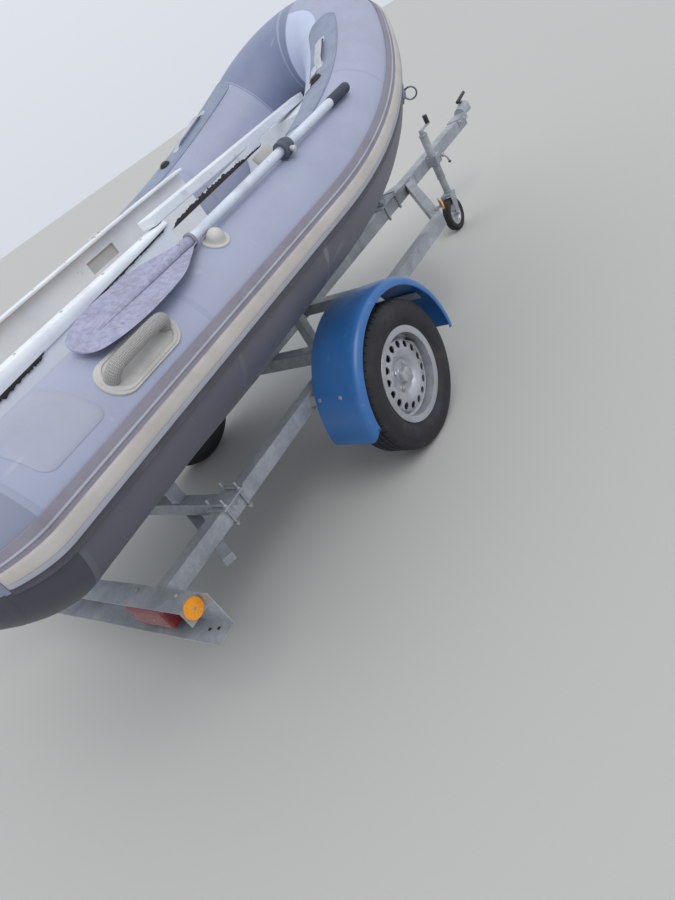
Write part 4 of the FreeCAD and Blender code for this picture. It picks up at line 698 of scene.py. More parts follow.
# Display colours, 0 to 255, that the settings can replace
DISPLAY = {
    "tube": (158, 164, 188),
    # Tube underside: darker as painted shade of the side that faces the ground
    "tube_under": (96, 96, 109),
    # Cones: a darker panel, darker still as painted shade where the cone turns away; their underside tone is painted
    # shade
    "cone": (136, 142, 163),
    "cone_under": (74, 75, 86),
    # Inner bow panel: a darker panel, partly painted shade where its inner face turns from the light
    "bow_inner": (128, 137, 166),
    # Pale starboard inner bow: a paler panel, lighter still as painted light where it faces the sky
    "bow_light": (192, 201, 227),
    "strake": (188, 184, 181),
    "gelcoat": (233, 238, 244),
    "floor": (178, 150, 112),
    "blade": (160, 162, 188),
    "zinc": (160, 165, 173),
    "guard": (46, 106, 172),
    "lamp": (104, 16, 28),
    "reflector": (236, 140, 8),
    "rim": (186, 188, 196),
    "tyre": (40, 40, 46),
}


def materials():
    """All the finishes by slot name, with the extra tones that scene pieces use."""
    shared_groups()
    return {
        "tube_fabric": fabric("Tube Fabric", DISPLAY["tube"], (148, 156, 180), (122, 116, 110)),
        "tube_lower": fabric("Tube Fabric Underside", DISPLAY["tube_under"], (84, 84, 96), (92, 88, 86)),
        "tube_cone": fabric("Cone Fabric", DISPLAY["cone"], (122, 128, 150), (108, 104, 102)),
        "cone_lower": fabric("Cone Fabric Underside", DISPLAY["cone_under"], (58, 60, 70), (84, 78, 72)),
        "bow_panel": fabric("Bow Panel Fabric", DISPLAY["bow_inner"], (100, 108, 132), (96, 94, 96)),
        "bow_light": fabric("Bow Light Panel", DISPLAY["bow_light"], (182, 190, 214), (124, 120, 118)),
        "seam_tape": fabric("Seam Tape", (152, 160, 182), (138, 146, 168), (112, 106, 100)),
        # Seam tape over the underside, darkened alike as painted shade
        "seam_lower": fabric("Seam Tape Underside", (104, 106, 116), (86, 88, 98), (84, 78, 72)),
        # Dark strake rubber on the strake's lower face: painted shadow under the strake
        "strake_rubber": rubber("Strake Rubber", (84, 82, 92), (104, 102, 110)),
        "strake_brown": rubber("Strake Upper Band", (136, 133, 146), (122, 118, 128)),
        "strake_cream": moulded("Strake Insert", DISPLAY["strake"], (172, 162, 146), (130, 124, 116), 0.5),
        "strake_light": rubber("Strake Edge Band", (166, 168, 180), (148, 149, 160)),
        "gelcoat": gelcoat_worn(),
        # Dark strips: bare wood where the board's paint peels, and painted shadow under the coamings' lips
        "bare_wood": rubber("Bare Wood", (52, 46, 48), (84, 74, 68), 40.0, 0.85),
        "tan_floor": moulded("Cockpit Floor", DISPLAY["floor"], (150, 124, 92), (84, 70, 54), 0.6, 90.0),
        "pad_plastic": moulded("Motor Pad Plastic", (46, 47, 50), (66, 66, 70), (110, 104, 96), 0.5),
        "cream_fitting": moulded("Cream Fitting", (193, 192, 190), (172, 169, 163), (124, 118, 110), 0.45),
        "cream_grip": dotted_grip(),
        "patch_light": fabric("Bare Patch", (163, 167, 186), (154, 158, 178), (122, 118, 116)),
        "oar_alloy": polished("Oar Alloy", (220, 228, 242), (184, 191, 206), 0.32, 9.0, 0.55),
        "oar_black": rubber("Oar Grip Rubber", (58, 62, 82), (84, 88, 108), 20.0, 0.6),
        "collar_grey": moulded("Collar Plastic", (72, 80, 96), (96, 102, 116), (100, 94, 90), 0.5),
        "oar_grey": weathered_blade(),
        "patch_grey": rubber("Patch Rubber", (136, 146, 168), (118, 126, 150), 16.0, 0.62),
        "ring_metal": polished("Ring Steel", (150, 152, 156), (96, 92, 90), 0.3),
        "galvanised": galvanised(),
        "guard_blue": painted("Mudguard Paint", DISPLAY["guard"], (42, 88, 146), (112, 134, 160)),
        # The lenses' second colours are their painted prism sheen
        "lamp_red": lens("Red Lens", DISPLAY["lamp"], (136, 32, 40)),
        "reflector_orange": lens("Amber Reflector", DISPLAY["reflector"], (250, 176, 26)),
        "rim_silver": polished("Rim Paint", DISPLAY["rim"], (150, 150, 158), 0.3, 10.0, 0.6),
        "tyre_rubber": rubber("Tyre Rubber", DISPLAY["tyre"], (66, 64, 64), 12.0, 0.78),
        "roller_rubber": rubber("Roller Rubber", (38, 38, 42), (60, 58, 58), 18.0, 0.7),
        "bunk_cover": rubber("Bunk Covering", (62, 60, 58), (84, 80, 76), 22.0, 0.9),
        "webbing": rubber("Webbing", (186, 190, 202), (160, 163, 174), 30.0, 0.75),
        # Painted shade for the rims' inside
        "shadow_dark": rubber("Dark Crease", (58, 56, 68), (74, 72, 86), 20.0, 0.8),
        "black_plastic": moulded("Black Plastic", (30, 31, 34), (52, 52, 54), (96, 90, 82), 0.45),
        "zinc_bolt": polished("Zinc Fastener", (184, 186, 192), (140, 138, 138), 0.3, 40.0, 0.65),
    }


def dressed(node, slot, width, segments=2):
    """A CAD node with its finish on the object, its mesh left alone, and modifiers for its edges.

    Doubles are welded, flat faces joined, and the edges broken by a small bevel.
    """
    piece = NODES[node]
    if not piece.material_slots:
        piece.data.materials.append(FINISH[slot])
    for place in piece.material_slots:
        place.link = "OBJECT"
        place.material = FINISH[slot]
    weld = piece.modifiers.new("Weld", "WELD")
    weld.merge_threshold = WELD_DISTANCE
    flat = piece.modifiers.new("Flat", "DECIMATE")
    flat.decimate_type = "DISSOLVE"
    flat.angle_limit = math.radians(0.6)
    bevel = piece.modifiers.new("Bevel", "BEVEL")
    bevel.width = width
    bevel.segments = segments
    bevel.limit_method = "ANGLE"
    bevel.angle_limit = math.radians(35.0)
    bevel.use_clamp_overlap = True
    bevel.harden_normals = False


# CAD nodes that stay as they are: their slot, the width of their broken edges in millimetres, their names
KEPT = (
    ("gelcoat", 3.0, "coaming_starboard coaming_port"),
    ("gelcoat", 4.0, "hull transom long_board"),
    ("gelcoat", 6.0, "bow_locker"),
    ("pad_plastic", 2.0, "transom_pads"),
    ("tan_floor", 1.5, "deck_floor"),
    ("bunk_cover", 4.0, "bunks"),
    ("roller_rubber", 2.0, "keel_rollers"),
    ("black_plastic", 1.0, "coupling_lever"),
    ("galvanised", 0.8, "rail_clamps light_board reflector_brackets"),
    ("galvanised", 1.0, "guard_stays jockey_tube jockey_crank jockey_stem jockey_fork roller_brackets bow_support"),
    ("galvanised", 1.5, "coupling_head"),
    ("galvanised", 2.0, "axle_arms jockey_clamp bunk_posts"),
    ("galvanised", 3.0, "drawbar rail_port rail_starboard cross_members axle_beam"),
)


def kept_nodes(edge_scale):
    """CAD nodes that stay in view, with their finish and broken edges."""
    for slot, width, nodes in KEPT:
        for node in nodes.split():
            dressed(node, slot, width * 0.001 * edge_scale)


def stage(floor_color, sky_strength, sun_strength):
    """Pale ground, an even sky with a soft high sun, and the photograph's camera."""
    scene = bpy.context.scene
    mesh = bpy.data.meshes.new("ground")
    corners = [(x * GROUND_REACH, y * GROUND_REACH, 0) for x, y in ((-1, -1), (1, -1), (1, 1), (-1, 1))]
    mesh.from_pydata(corners, [], [(0, 1, 2, 3)])
    ground = bpy.data.objects.new("ground", mesh)
    coat = Coat("Ground", (205, 205, 202), 0.9, specular=0.2)
    coat.color = (*floor_color, 1)
    mesh.materials.append(coat.done(coat.noise(60.0), 0.2, 0.002))
    scene.world = bpy.data.worlds.new("Sky")
    scene.world.use_nodes = True
    tree = Tree(scene.world.node_tree)
    height = tree.add("SeparateXYZ", {0: tree.add("TexCoord")["Generated"]})[2]
    sky = tree.mix(tree.span(height, -0.1, 0.9), (0.66, 0.70, 0.76, 1), (0.94, 0.97, 1.0, 1))
    tree.feed(tree.tree.nodes["Background"], {"Color": sky, "Strength": sky_strength})
    sun = bpy.data.lights.new("Sun", "SUN")
    sun.energy = sun_strength
    sun.angle = math.radians(40)
    sun.color = (1.0, 0.97, 0.93)
    lamp = bpy.data.objects.new("Sun", sun)
    lamp.rotation_euler = [math.radians(turn) for turn in (28, -24, 10)]
    scene.view_settings.view_transform = "Standard"
    data = bpy.data.cameras.new("Camera")
    data.sensor_fit = "VERTICAL"
    data.sensor_height = data.sensor_width = SENSOR_MM
    data.lens = PHOTO_FOCAL_PX * SENSOR_MM / PHOTO_HEIGHT_PX
    data.clip_end = 200
    camera = bpy.data.objects.new("Camera", data)
    cos_yaw, sin_yaw, cos_down = math.cos(CAMERA_YAW), math.sin(CAMERA_YAW), math.cos(CAMERA_DOWN)
    ahead = Vector((cos_yaw * cos_down, sin_yaw * cos_down, -math.sin(CAMERA_DOWN)))
    right = Vector((sin_yaw, -cos_yaw, 0))
    up = right.cross(ahead)
    c, s = math.cos(CAMERA_ROLL), math.sin(CAMERA_ROLL)
    columns = (right * c - up * s, right * s + up * c, -ahead)
    camera.matrix_world = Matrix.Translation(trailer(*CAMERA_AT)) @ Matrix(columns).transposed().to_4x4()
    for item in (ground, lamp, camera):
        scene.collection.objects.link(item)
    scene.camera = camera


# Skin's depth under the solids, and the height of a glued tape
SKIN_DOWN = -0.0008
TAPE_HEIGHT = -0.0002

# Degrees round a tube where the lower fabric starts outboard and inboard, and where the bow's panels end on top
LOWER_OUT = 100
LOWER_IN = -148
PANEL_TOP = 20
INNER_TOP = -12

# Station of the seam amidships
MID_SEAM_S = -0.680

# Places of the fittings: x in the boat's frame, distance past the bend, or degrees along the shoulder's arc
QUARTER_PATCH_X = -1.166
HANDLE_X = -0.880
HOLDER_X = -0.415
OARLOCK_S = 0.143
GRIP_PATCH_TURN = (8.0, 33.0)
STRAP_TURN = (21.5, 27.5)
VALVE_TURN = 18.6
TOW_RING_TURN = 23.0

# Their degrees round the tube, from straight up to outboard
QUARTER_PATCH_ANGLE = 31.0
HANDLE_ANGLE = 50.0
HOLDER_ANGLE = 31.0
OARLOCK_ANGLE = -17.0
GRIP_PATCH_ANGLE = -6.0
STRAP_ANGLE = -7.0
VALVE_ANGLE = -8.0
TOW_RING_ANGLE = 115.0

# Where the darker inner bow panel starts on each side, and the pale panel on the starboard side
PANEL_PORT_S = 1.30
PANEL_STARBOARD_S = 1.655
INNER_FROM_S = 0.70


def side_rows(count_cone=26, count_straight=64, count_bow=96):
    """Stations along a side tube from the cone's end to the nose, closer together on the cone."""
    cone = CONE_END_S + CONE_L * np.linspace(0, 1, count_cone, endpoint=False) ** 0.9
    straight = np.linspace(STERN_S, 0, count_straight, endpoint=False)
    return np.concatenate([cone, straight, np.linspace(0, NOSE_S, count_bow)])


def round_boat(section, rows):
    """A section carried from the port stern round the nose to the starboard stern.

    section(s, side) gives the points of one station; the nose station is shared by both sides.
    """
    port = [section(s, 1) for s in rows]
    starboard = [section(s, -1) for s in rows[-2::-1]]
    return np.array(port + starboard)


def tube_skins(columns):
    """Skin of all the tubes in one closed surface: circles along the axis, coloured in zones.

    The cone ends are rounded over the last centimetre as a quarter circle.
    """
    shell = Shell()
    angles = np.linspace(-180, 180, columns, endpoint=False)
    rows = side_rows()
    lip = 0.012
    ends = CONE_END_S + lip * (1 - np.cos(np.linspace(0, math.pi / 2, 6)[:-1]))
    rows = np.concatenate([ends, rows[rows > CONE_END_S + lip * 1.2]])

    def section(s, side):
        """One station of the tubes, its radius falling as a quarter circle at the cone's end."""
        near = min((s - CONE_END_S) / lip, 1.0)
        shrink = lip * (1 - math.sqrt(max(0.0, 1 - (1 - near) ** 2)))
        return skin(s, angles, SKIN_DOWN - shrink, side)

    points = round_boat(section, rows)
    station = np.concatenate([rows, rows[-2::-1]])
    middle_s = (station[1:] + station[:-1]) / 2
    middle_a = angles + 180 / columns
    s, a = np.meshgrid(middle_s, middle_a, indexing="ij")
    zones = np.zeros(s.shape, int)
    # Below the strake the underside tone, painted shade of the side that faces the ground
    below = (a > LOWER_OUT) | (a < LOWER_IN)
    zones[below] = 1
    # Behind the stern the cones' tones: partly painted shade where they turn away, and painted shade below
    zones[s < STERN_S] = 2
    zones[(s < STERN_S) & below] = 4
    edge = np.where(np.arange(len(middle_s))[:, None] < len(rows) - 1, PANEL_PORT_S, PANEL_STARBOARD_S)
    # Starboard inner face ahead of INNER_FROM_S: pale panel tone, partly painted light where it faces the sky
    inner = (a < INNER_TOP) & (a > LOWER_IN) & (s > INNER_FROM_S)
    inner[:len(rows) - 1] = False
    zones[inner] = 5
    # Inner bow panel beyond each side's edge, its darker tone partly painted shade
    zones[(s > edge) & (a < PANEL_TOP) & (a > LOWER_IN)] = 3
    along = np.concatenate([rows, 2 * NOSE_S - rows[-2::-1]])
    shell.grid(points, close_v=True, mark=zones.ravel(), u=along,
               v=np.radians(np.append(angles, 180)) * TUBE_R, cap="both")
    shell.make("tube_skins", "tube_fabric tube_lower tube_cone bow_panel cone_lower bow_light", "tube_fabric",
               "tube_port tube_starboard tube_bow stern_cones", 50)


def tape(shell, s_range, angles, side, mark=0, steps=3):
    """Thin glued band on the tube between two stations and over a run of angles, its rim worn round."""
    s0, s1 = s_range
    rim = 0.0012
    s_rows = np.array([s0, s0, s0 + rim, *np.linspace(s0 + rim, s1 - rim, steps)[1:-1], s1 - rim, s1, s1])
    foot = SKIN_DOWN - 0.001
    lift = np.full(len(s_rows), TAPE_HEIGHT)
    lift[[0, -1]] = foot
    lift[[1, -2]] = TAPE_HEIGHT - 0.0005
    rim_deg = math.degrees(rim / TUBE_R)
    a = np.concatenate([[angles[0]], [angles[0]], angles[1:-1], [angles[-1]], [angles[-1]]])
    a[1] += rim_deg * 0.2
    a[-2] -= rim_deg * 0.2
    low = np.ones(len(a))
    low[[0, -1]] = 0
    heights = np.where(low[None] > 0, lift[:, None], foot)
    points = skin(s_rows[:, None], a[None], heights, side)
    shell.grid(points, mark=mark)
    bottom = skin(s_rows[:, None], a[None], foot - 1e-5, side)
    shell.grid(bottom, mark=mark)
    shell_edge(shell, points, bottom, mark)


def shell_edge(shell, first, second, mark):
    """Closes the gap between the borders of two grids of the same size."""
    def border(points):
        """Points round the rim of a grid."""
        return np.vstack([points[0, :-1], points[:-1, -1], points[-1, :0:-1], points[:0:-1, 0]])

    shell.grid(np.stack([border(first), border(second)]), close_v=True, mark=mark)


def pad(shell, outline, steps, place, mark=0, rings=5):
    """Plate of a closed outline: (inset, height) steps up its edge, then rings in to its centre.

    Each ring is the outline shrunk towards its centre so that its reach falls by the inset.
    """
    outline = np.asarray(outline, float)
    centre = outline.mean(0)
    offset = outline - centre
    reach = np.linalg.norm(offset, axis=1, keepdims=True)
    rows = []
    for inset, height in steps:
        flat = centre + offset * np.maximum(1 - inset / reach, 0)
        rows.append(level(flat, height))
    last_height = steps[-1][1]
    top = rows[-1][:, :2]
    for share in np.linspace(1, 0, rings + 1)[1:]:
        rows.append(level(centre + (top - centre) * share, last_height))
    shell.grid(place(np.array(rows)), close_v=True, mark=mark)


def stadium(length, width, count=20):
    """Outline with half-round ends."""
    turn = np.linspace(-np.pi / 2, np.pi / 2, count)
    r = width / 2
    right = np.stack([length / 2 - r + r * np.cos(turn), r * np.sin(turn)], -1)
    return np.vstack([right, -right])


def ring_tape(shell, s_range, side, marks=(0, 1)):
    """Tape round a tube in two lengths, the upper one and the one over the dark underside."""
    tape(shell, s_range, np.linspace(LOWER_IN, LOWER_OUT, 50), side, mark=marks[0])
    tape(shell, s_range, np.linspace(LOWER_OUT, LOWER_IN + 360, 24), side, mark=marks[1])


def dense(outline, step):
    """Outline with more points, each side cut into parts no longer than the step."""
    points = []
    for first, second in zip(outline, np.roll(outline, -1, axis=0)):
        parts = max(1, int(np.linalg.norm(second - first) / step))
        points += [first + (second - first) * k / parts for k in range(parts)]
    return np.array(points)


def seams_and_patches(width):
    """Glued seam tapes round the tubes, lengthwise seams and the bare patches on the quarters."""
    shell = Shell()
    half = width / 2
    for side in SIDES:
        for middle_s in (STERN_S, MID_SEAM_S, SHOULDER.length * 0.54):
            ring_tape(shell, (middle_s - half, middle_s + half), side)
        for angle in (137.0, 141.0):
            tape(shell, (STERN_S + 0.02, SHOULDER.length), np.linspace(angle, angle + 1.3, 4), side, mark=1,
                 steps=90)
        tape(shell, (-1.2, SHOULDER.length), np.linspace(-128, -125.5, 4), side, steps=90)
        cap_s = STERN_S - 0.165
        ring_tape(shell, (cap_s - half * 0.8, cap_s + half * 0.8), side, (2, 3))
        ring_tape(shell, (NOSE_S - half, NOSE_S), side)
        edge = PANEL_PORT_S if side > 0 else PANEL_STARBOARD_S
        tape(shell, (edge - 0.004, edge + 0.004), np.linspace(LOWER_IN + 1, PANEL_TOP + 1, 50), side)
    shell.make("seam_tapes", "seam_tape seam_lower tube_cone cone_lower", "tube_fabric")
    patches = Shell()
    for side in SIDES:
        outline = dense(rounded(0.205, 0.222, 0.03, 6), 0.008)
        outline[:, 0] += 0.12 * outline[:, 1]
        pad(patches, outline, [(0, -0.002), (0, 0.0002), (0.0012, 0.0009)],
            on_skin(QUARTER_PATCH_X - BEND_X, QUARTER_PATCH_ANGLE, side), rings=7)
    patches.make("quarter_patches", "patch_light", "tube_fabric")


# Strake's outer face from its upper edge down: angle, height in millimetres, tone of the strip that follows; tone 4,
# the dark strip on the strake's lower face, is painted shadow under the strake
STRAKE_PROFILE = (
    (71.8, -1.0, 0), (71.8, 5.2, 0), (72.3, 6.6, 0), (77.8, 6.9, 0), (78.1, 9.0, 1), (78.5, 11.2, 1),
    (79.4, 11.6, 1), (79.8, 9.4, 1), (79.9, 8.2, 0), (82.3, 8.6, 0), (82.7, 12.0, 2), (83.1, 16.4, 2),
    (83.8, 17.5, 2), (86.0, 17.7, 2), (89.0, 17.7, 2), (91.6, 17.4, 2), (92.2, 16.6, 3), (92.4, 15.0, 3),
    (92.8, 15.8, 3), (95.2, 15.4, 3), (96.2, 14.6, 3), (96.6, 12.0, 4), (97.3, 7.6, 4), (98.6, 6.9, 4),
    (102.5, 6.8, 4), (103.0, 5.2, 4), (103.0, -1.0, 4),
)
STRAKE_TAIL = 0.148


def rub_strake():
    """Rub strake: a stepped profile carried round the tubes, its tails running out on the cones."""
    shell = Shell()
    profile = np.array([(a, h) for a, h, _ in STRAKE_PROFILE])
    tones = [tone for _, _, tone in STRAKE_PROFILE]
    rows = side_rows(20, 70, 100)
    tail = STERN_S - STRAKE_TAIL
    ramp = np.array([0, 0.0015, 0.005, 0.012])
    rows = np.concatenate([tail + ramp, rows[rows > tail + 0.016]])

    def section(s, side):
        """One station of the strake, lower at its tail."""
        fade = np.interp(s - tail, ramp, [0.35, 0.7, 0.92, 1.0])
        height = profile[:, 1] * 0.001
        return skin(s, profile[:, 0], np.where(height > 0, height * fade, height), side)

    points = round_boat(section, rows)
    marks = np.tile(np.append(tones[:-1], 4), (len(points) - 1, 1))
    station = np.concatenate([rows, 2 * NOSE_S - rows[-2::-1]])
    shell.grid(points, close_v=True, mark=marks.ravel(), u=station,
               v=np.radians(np.append(profile[:, 0], profile[0, 0])) * TUBE_R, cap="both")
    shell.make("rub_strake_bands", "strake_brown strake_light strake_cream strake_light strake_rubber",
               "strake_rubber", "rub_strake", 30)


def lifting_handles():
    """Moulded handles on the quarters: stepped oval base with a pocket, dotted cane bar bent into it."""
    shell = Shell()
    s = HANDLE_X - BEND_X
    path = [(-0.1025, 0, -0.004), (-0.1025, 0, 0.016), (-0.094, 0, 0.037), (-0.070, 0, 0.048), (0, 0, 0.0495),
            (0.070, 0, 0.048), (0.094, 0, 0.037), (0.1025, 0, 0.016), (0.1025, 0, -0.004)]
    line = smooth_path(path, 54)
    share = np.abs(np.linspace(-1, 1, 54))
    swell = 1 + 0.10 * np.clip((share - 0.55) / 0.45, 0, 1) ** 2
    length = np.concatenate([[0], np.cumsum(np.linalg.norm(np.diff(line, axis=0), axis=1))])
    for side in SIDES:
        pad(shell, stadium(0.274, 0.111), [(0, -0.003), (0, 0.0035), (0.0015, 0.0055), (0.009, 0.006),
                                           (0.0105, 0.0078), (0.012, 0.0088), (0.023, 0.009), (0.0245, 0.0055),
                                           (0.026, 0.005)],
            on_skin(s, HANDLE_ANGLE, side), rings=5)
        bars = carried(circle(0.0188, 28) * [1.0, 0.98], line, (0, 1, 0), swell)
        points = set_on(bars, s, HANDLE_ANGLE, side)
        shell.grid(points, close_v=True, mark=1, u=length, v=np.linspace(0, 0.118, 29), cap="both")
    shell.make("lifting_handles_skin", "cream_fitting cream_grip", "cream_fitting", "lifting_handles", 34)


def fittings():
    """Oarlock blocks with their pads, and the domed oar holders."""
    dressed("oarlock_blocks", "cream_fitting", 0.0022, 3)
    pads = Shell()
    for side in SIDES:
        pad(pads, stadium(0.112, 0.064), [(0, -0.002), (0, 0.0022), (0.0012, 0.0032), (0.006, 0.0034)],
            on_skin(OARLOCK_S, OARLOCK_ANGLE, side))
        s = HOLDER_X - BEND_X
        pad(pads, circle(0.040, 40), [(0, -0.003), (0, 0.003), (0.0015, 0.0048), (0.006, 0.0056),
                                      (0.0075, 0.0044)], on_skin(s, HOLDER_ANGLE, side))
        turn = np.linspace(0, np.pi / 2, 12)
        dome = [(0.0295, 0.003), (0.028, 0.006)] + [(0.0268 * math.cos(t), 0.010 + 0.0268 * math.sin(t)) for t in turn]
        ring = circle(1.0, 36)
        rows = np.array([level(ring * r, z) for r, z in dome])
        rows[..., 1] = np.where(rows[..., 1] < 0, rows[..., 1] * 0.92, rows[..., 1])
        pads.grid(set_on(rows, s, HOLDER_ANGLE, side), close_v=True)
    pads.make("fitting_pads", "cream_fitting", "cream_fitting", "oar_holders", 34)


def bow_gear():
    """Textured grip patches with webbing handles and inflation valves, and the towing rings."""
    low_s, high_s = np.radians(GRIP_PATCH_TURN) * SHOULDER.radius
    middle_s = (low_s + high_s) / 2
    shell = Shell()
    for side in SIDES:
        width = math.radians(42) * TUBE_R
        outline = rounded(high_s - low_s, width, 0.055, 8)
        outline[:, 1] *= 1 - 0.35 * np.clip(-outline[:, 0] / (high_s - low_s) * 2 - 0.2, 0, 1) ** 1.5
        pad(shell, dense(outline, 0.02), [(0, -0.002), (0, 0.0018), (0.0016, 0.0027), (0.012, 0.0028),
                                          (0.0135, 0.0018), (0.0155, 0.0018), (0.017, 0.0028)],
            on_skin(middle_s, GRIP_PATCH_ANGLE, side), rings=10)
    shell.make("grip_patch_skins", "patch_grey", "patch_grey", "grip_patches", 34)
    straps = Shell()
    for side in SIDES:
        start, end = np.radians(STRAP_TURN) * SHOULDER.radius
        arch = np.linspace(0, 1, 33)
        rise = 0.0034 + 0.0165 * np.clip(np.minimum(arch, 1 - arch) / 0.17, 0, 1) ** 0.75
        run = start + (end - start) * arch
        profile = rounded(0.032, 0.0032, 0.0012, 2)
        rows = [laid(np.column_stack([np.zeros(len(profile)), profile + [0, height]]), s, STRAP_ANGLE, side)
                for s, height in zip(run, rise)]
        straps.grid(np.array(rows), close_v=True, u=run, v=np.linspace(0, 0.07, len(profile) + 1), cap="both")
        for s in (start, end):
            pad(straps, rounded(0.05, 0.036, 0.006), [(0, 0.0015), (0, 0.0042), (0.0012, 0.0052)],
                on_skin(s, STRAP_ANGLE, side))
    run = np.linspace(0, 1, 15)
    loose = [laid(np.column_stack([np.zeros(12), profile + [0, 0.0048 + 0.004 * math.sin(t * 9) ** 2]]),
                  0.892 - 0.209 * t, -13.2 - 3.7 * t, -1) for t in run]
    straps.grid(np.array(loose), close_v=True, u=run * 0.209, v=np.linspace(0, 0.07, 13), cap="both")
    straps.make("bow_handle_straps", "webbing", "patch_grey", "bow_handles", 34)
    valves = Shell()
    s = math.radians(VALVE_TURN) * SHOULDER.radius
    for side in SIDES:
        profile = [(0.0275, 0.0), (0.027, 0.0055), (0.0255, 0.0095), (0.0225, 0.0115), (0.0195, 0.0112),
                   (0.0188, 0.0100), (0.0178, 0.0112), (0.0172, 0.0155), (0.0150, 0.0168), (0.0, 0.0172)]
        ring = circle(1.0, 48)
        ridge = 1 + 0.035 * (np.arange(48) % 4 < 2)
        rows = []
        for r, z in profile:
            bump = ridge if 0.016 < r < 0.018 else 1.0
            rows.append(level(ring * r * np.reshape(bump, (-1, 1)), z))
        valves.grid(set_on(np.array(rows), s, VALVE_ANGLE, side), close_v=True)
    valves.make("valve_skins", "black_plastic", "oar_black", "bow_valves", 30)
    rings = Shell()
    s = math.radians(TOW_RING_TURN) * SHOULDER.radius
    for side in SIDES:
        pad(rings, circle(0.038, 40), [(0, -0.003), (0, 0.003), (0.0015, 0.0052), (0.02, 0.0058), (0.021, 0.0064)],
            on_skin(s, TOW_RING_ANGLE, side))
        turn = np.linspace(0, 2 * np.pi, 48, endpoint=False)
        loop = np.column_stack([np.zeros(48), 0.026 * np.sin(turn), 0.0305 - 0.0255 * np.cos(turn)])
        loop[:, 2] = np.maximum(loop[:, 2], 0.0072)
        tube = carried(circle(0.0036, 12), loop, (1, 0, 0), closed=True)
        rings.grid(set_on(tube, s, TOW_RING_ANGLE, side), close_u=True, close_v=True, mark=1)
        strap = [(-0.018, -0.001), (0.018, -0.001), (0.018, 0.009), (0.012, 0.0118), (-0.012, 0.0118),
                 (-0.018, 0.009)]
        rows = [[(x, y, z) for x, z in strap] for y in (-0.015, 0.015)]
        rings.grid(set_on(np.array(rows), s, TOW_RING_ANGLE, side), close_v=True, cap="both")
    rings.make("tow_ring_skins", "patch_grey ring_metal", "ring_metal", "tow_rings", 34)


# Stowed oar in the boat's frame: offset outboard of the tube's middle, height at each end of the shaft
OAR_OUT = 0.084
OAR_AFT = (-0.468, -TUBE_Y - OAR_OUT, 0.21844)
OAR_FORE = (0.415, -TUBE_Y - OAR_OUT, 0.22444)
OAR_COLLAR_AT = 0.615

# Blade: where the crease ends is a share of its length, and the spine's foot a share of the spine's radius
BLADE_L = 0.492
BLADE_HALF_W = 0.098
CREASE_END_T = 0.84
FOOT_RATIO = 1.36

# Its outline behind the shaft: share of its length, share of its half breadth
BLADE_OUTLINE = ((-0.026, 0.224), (0.0, 0.228), (0.06, 0.30), (0.15, 0.52), (0.30, 0.84), (0.48, 0.965),
                 (0.66, 1.0), (0.82, 0.90), (0.93, 0.70), (0.975, 0.50), (0.995, 0.24), (1.0, 0.02))


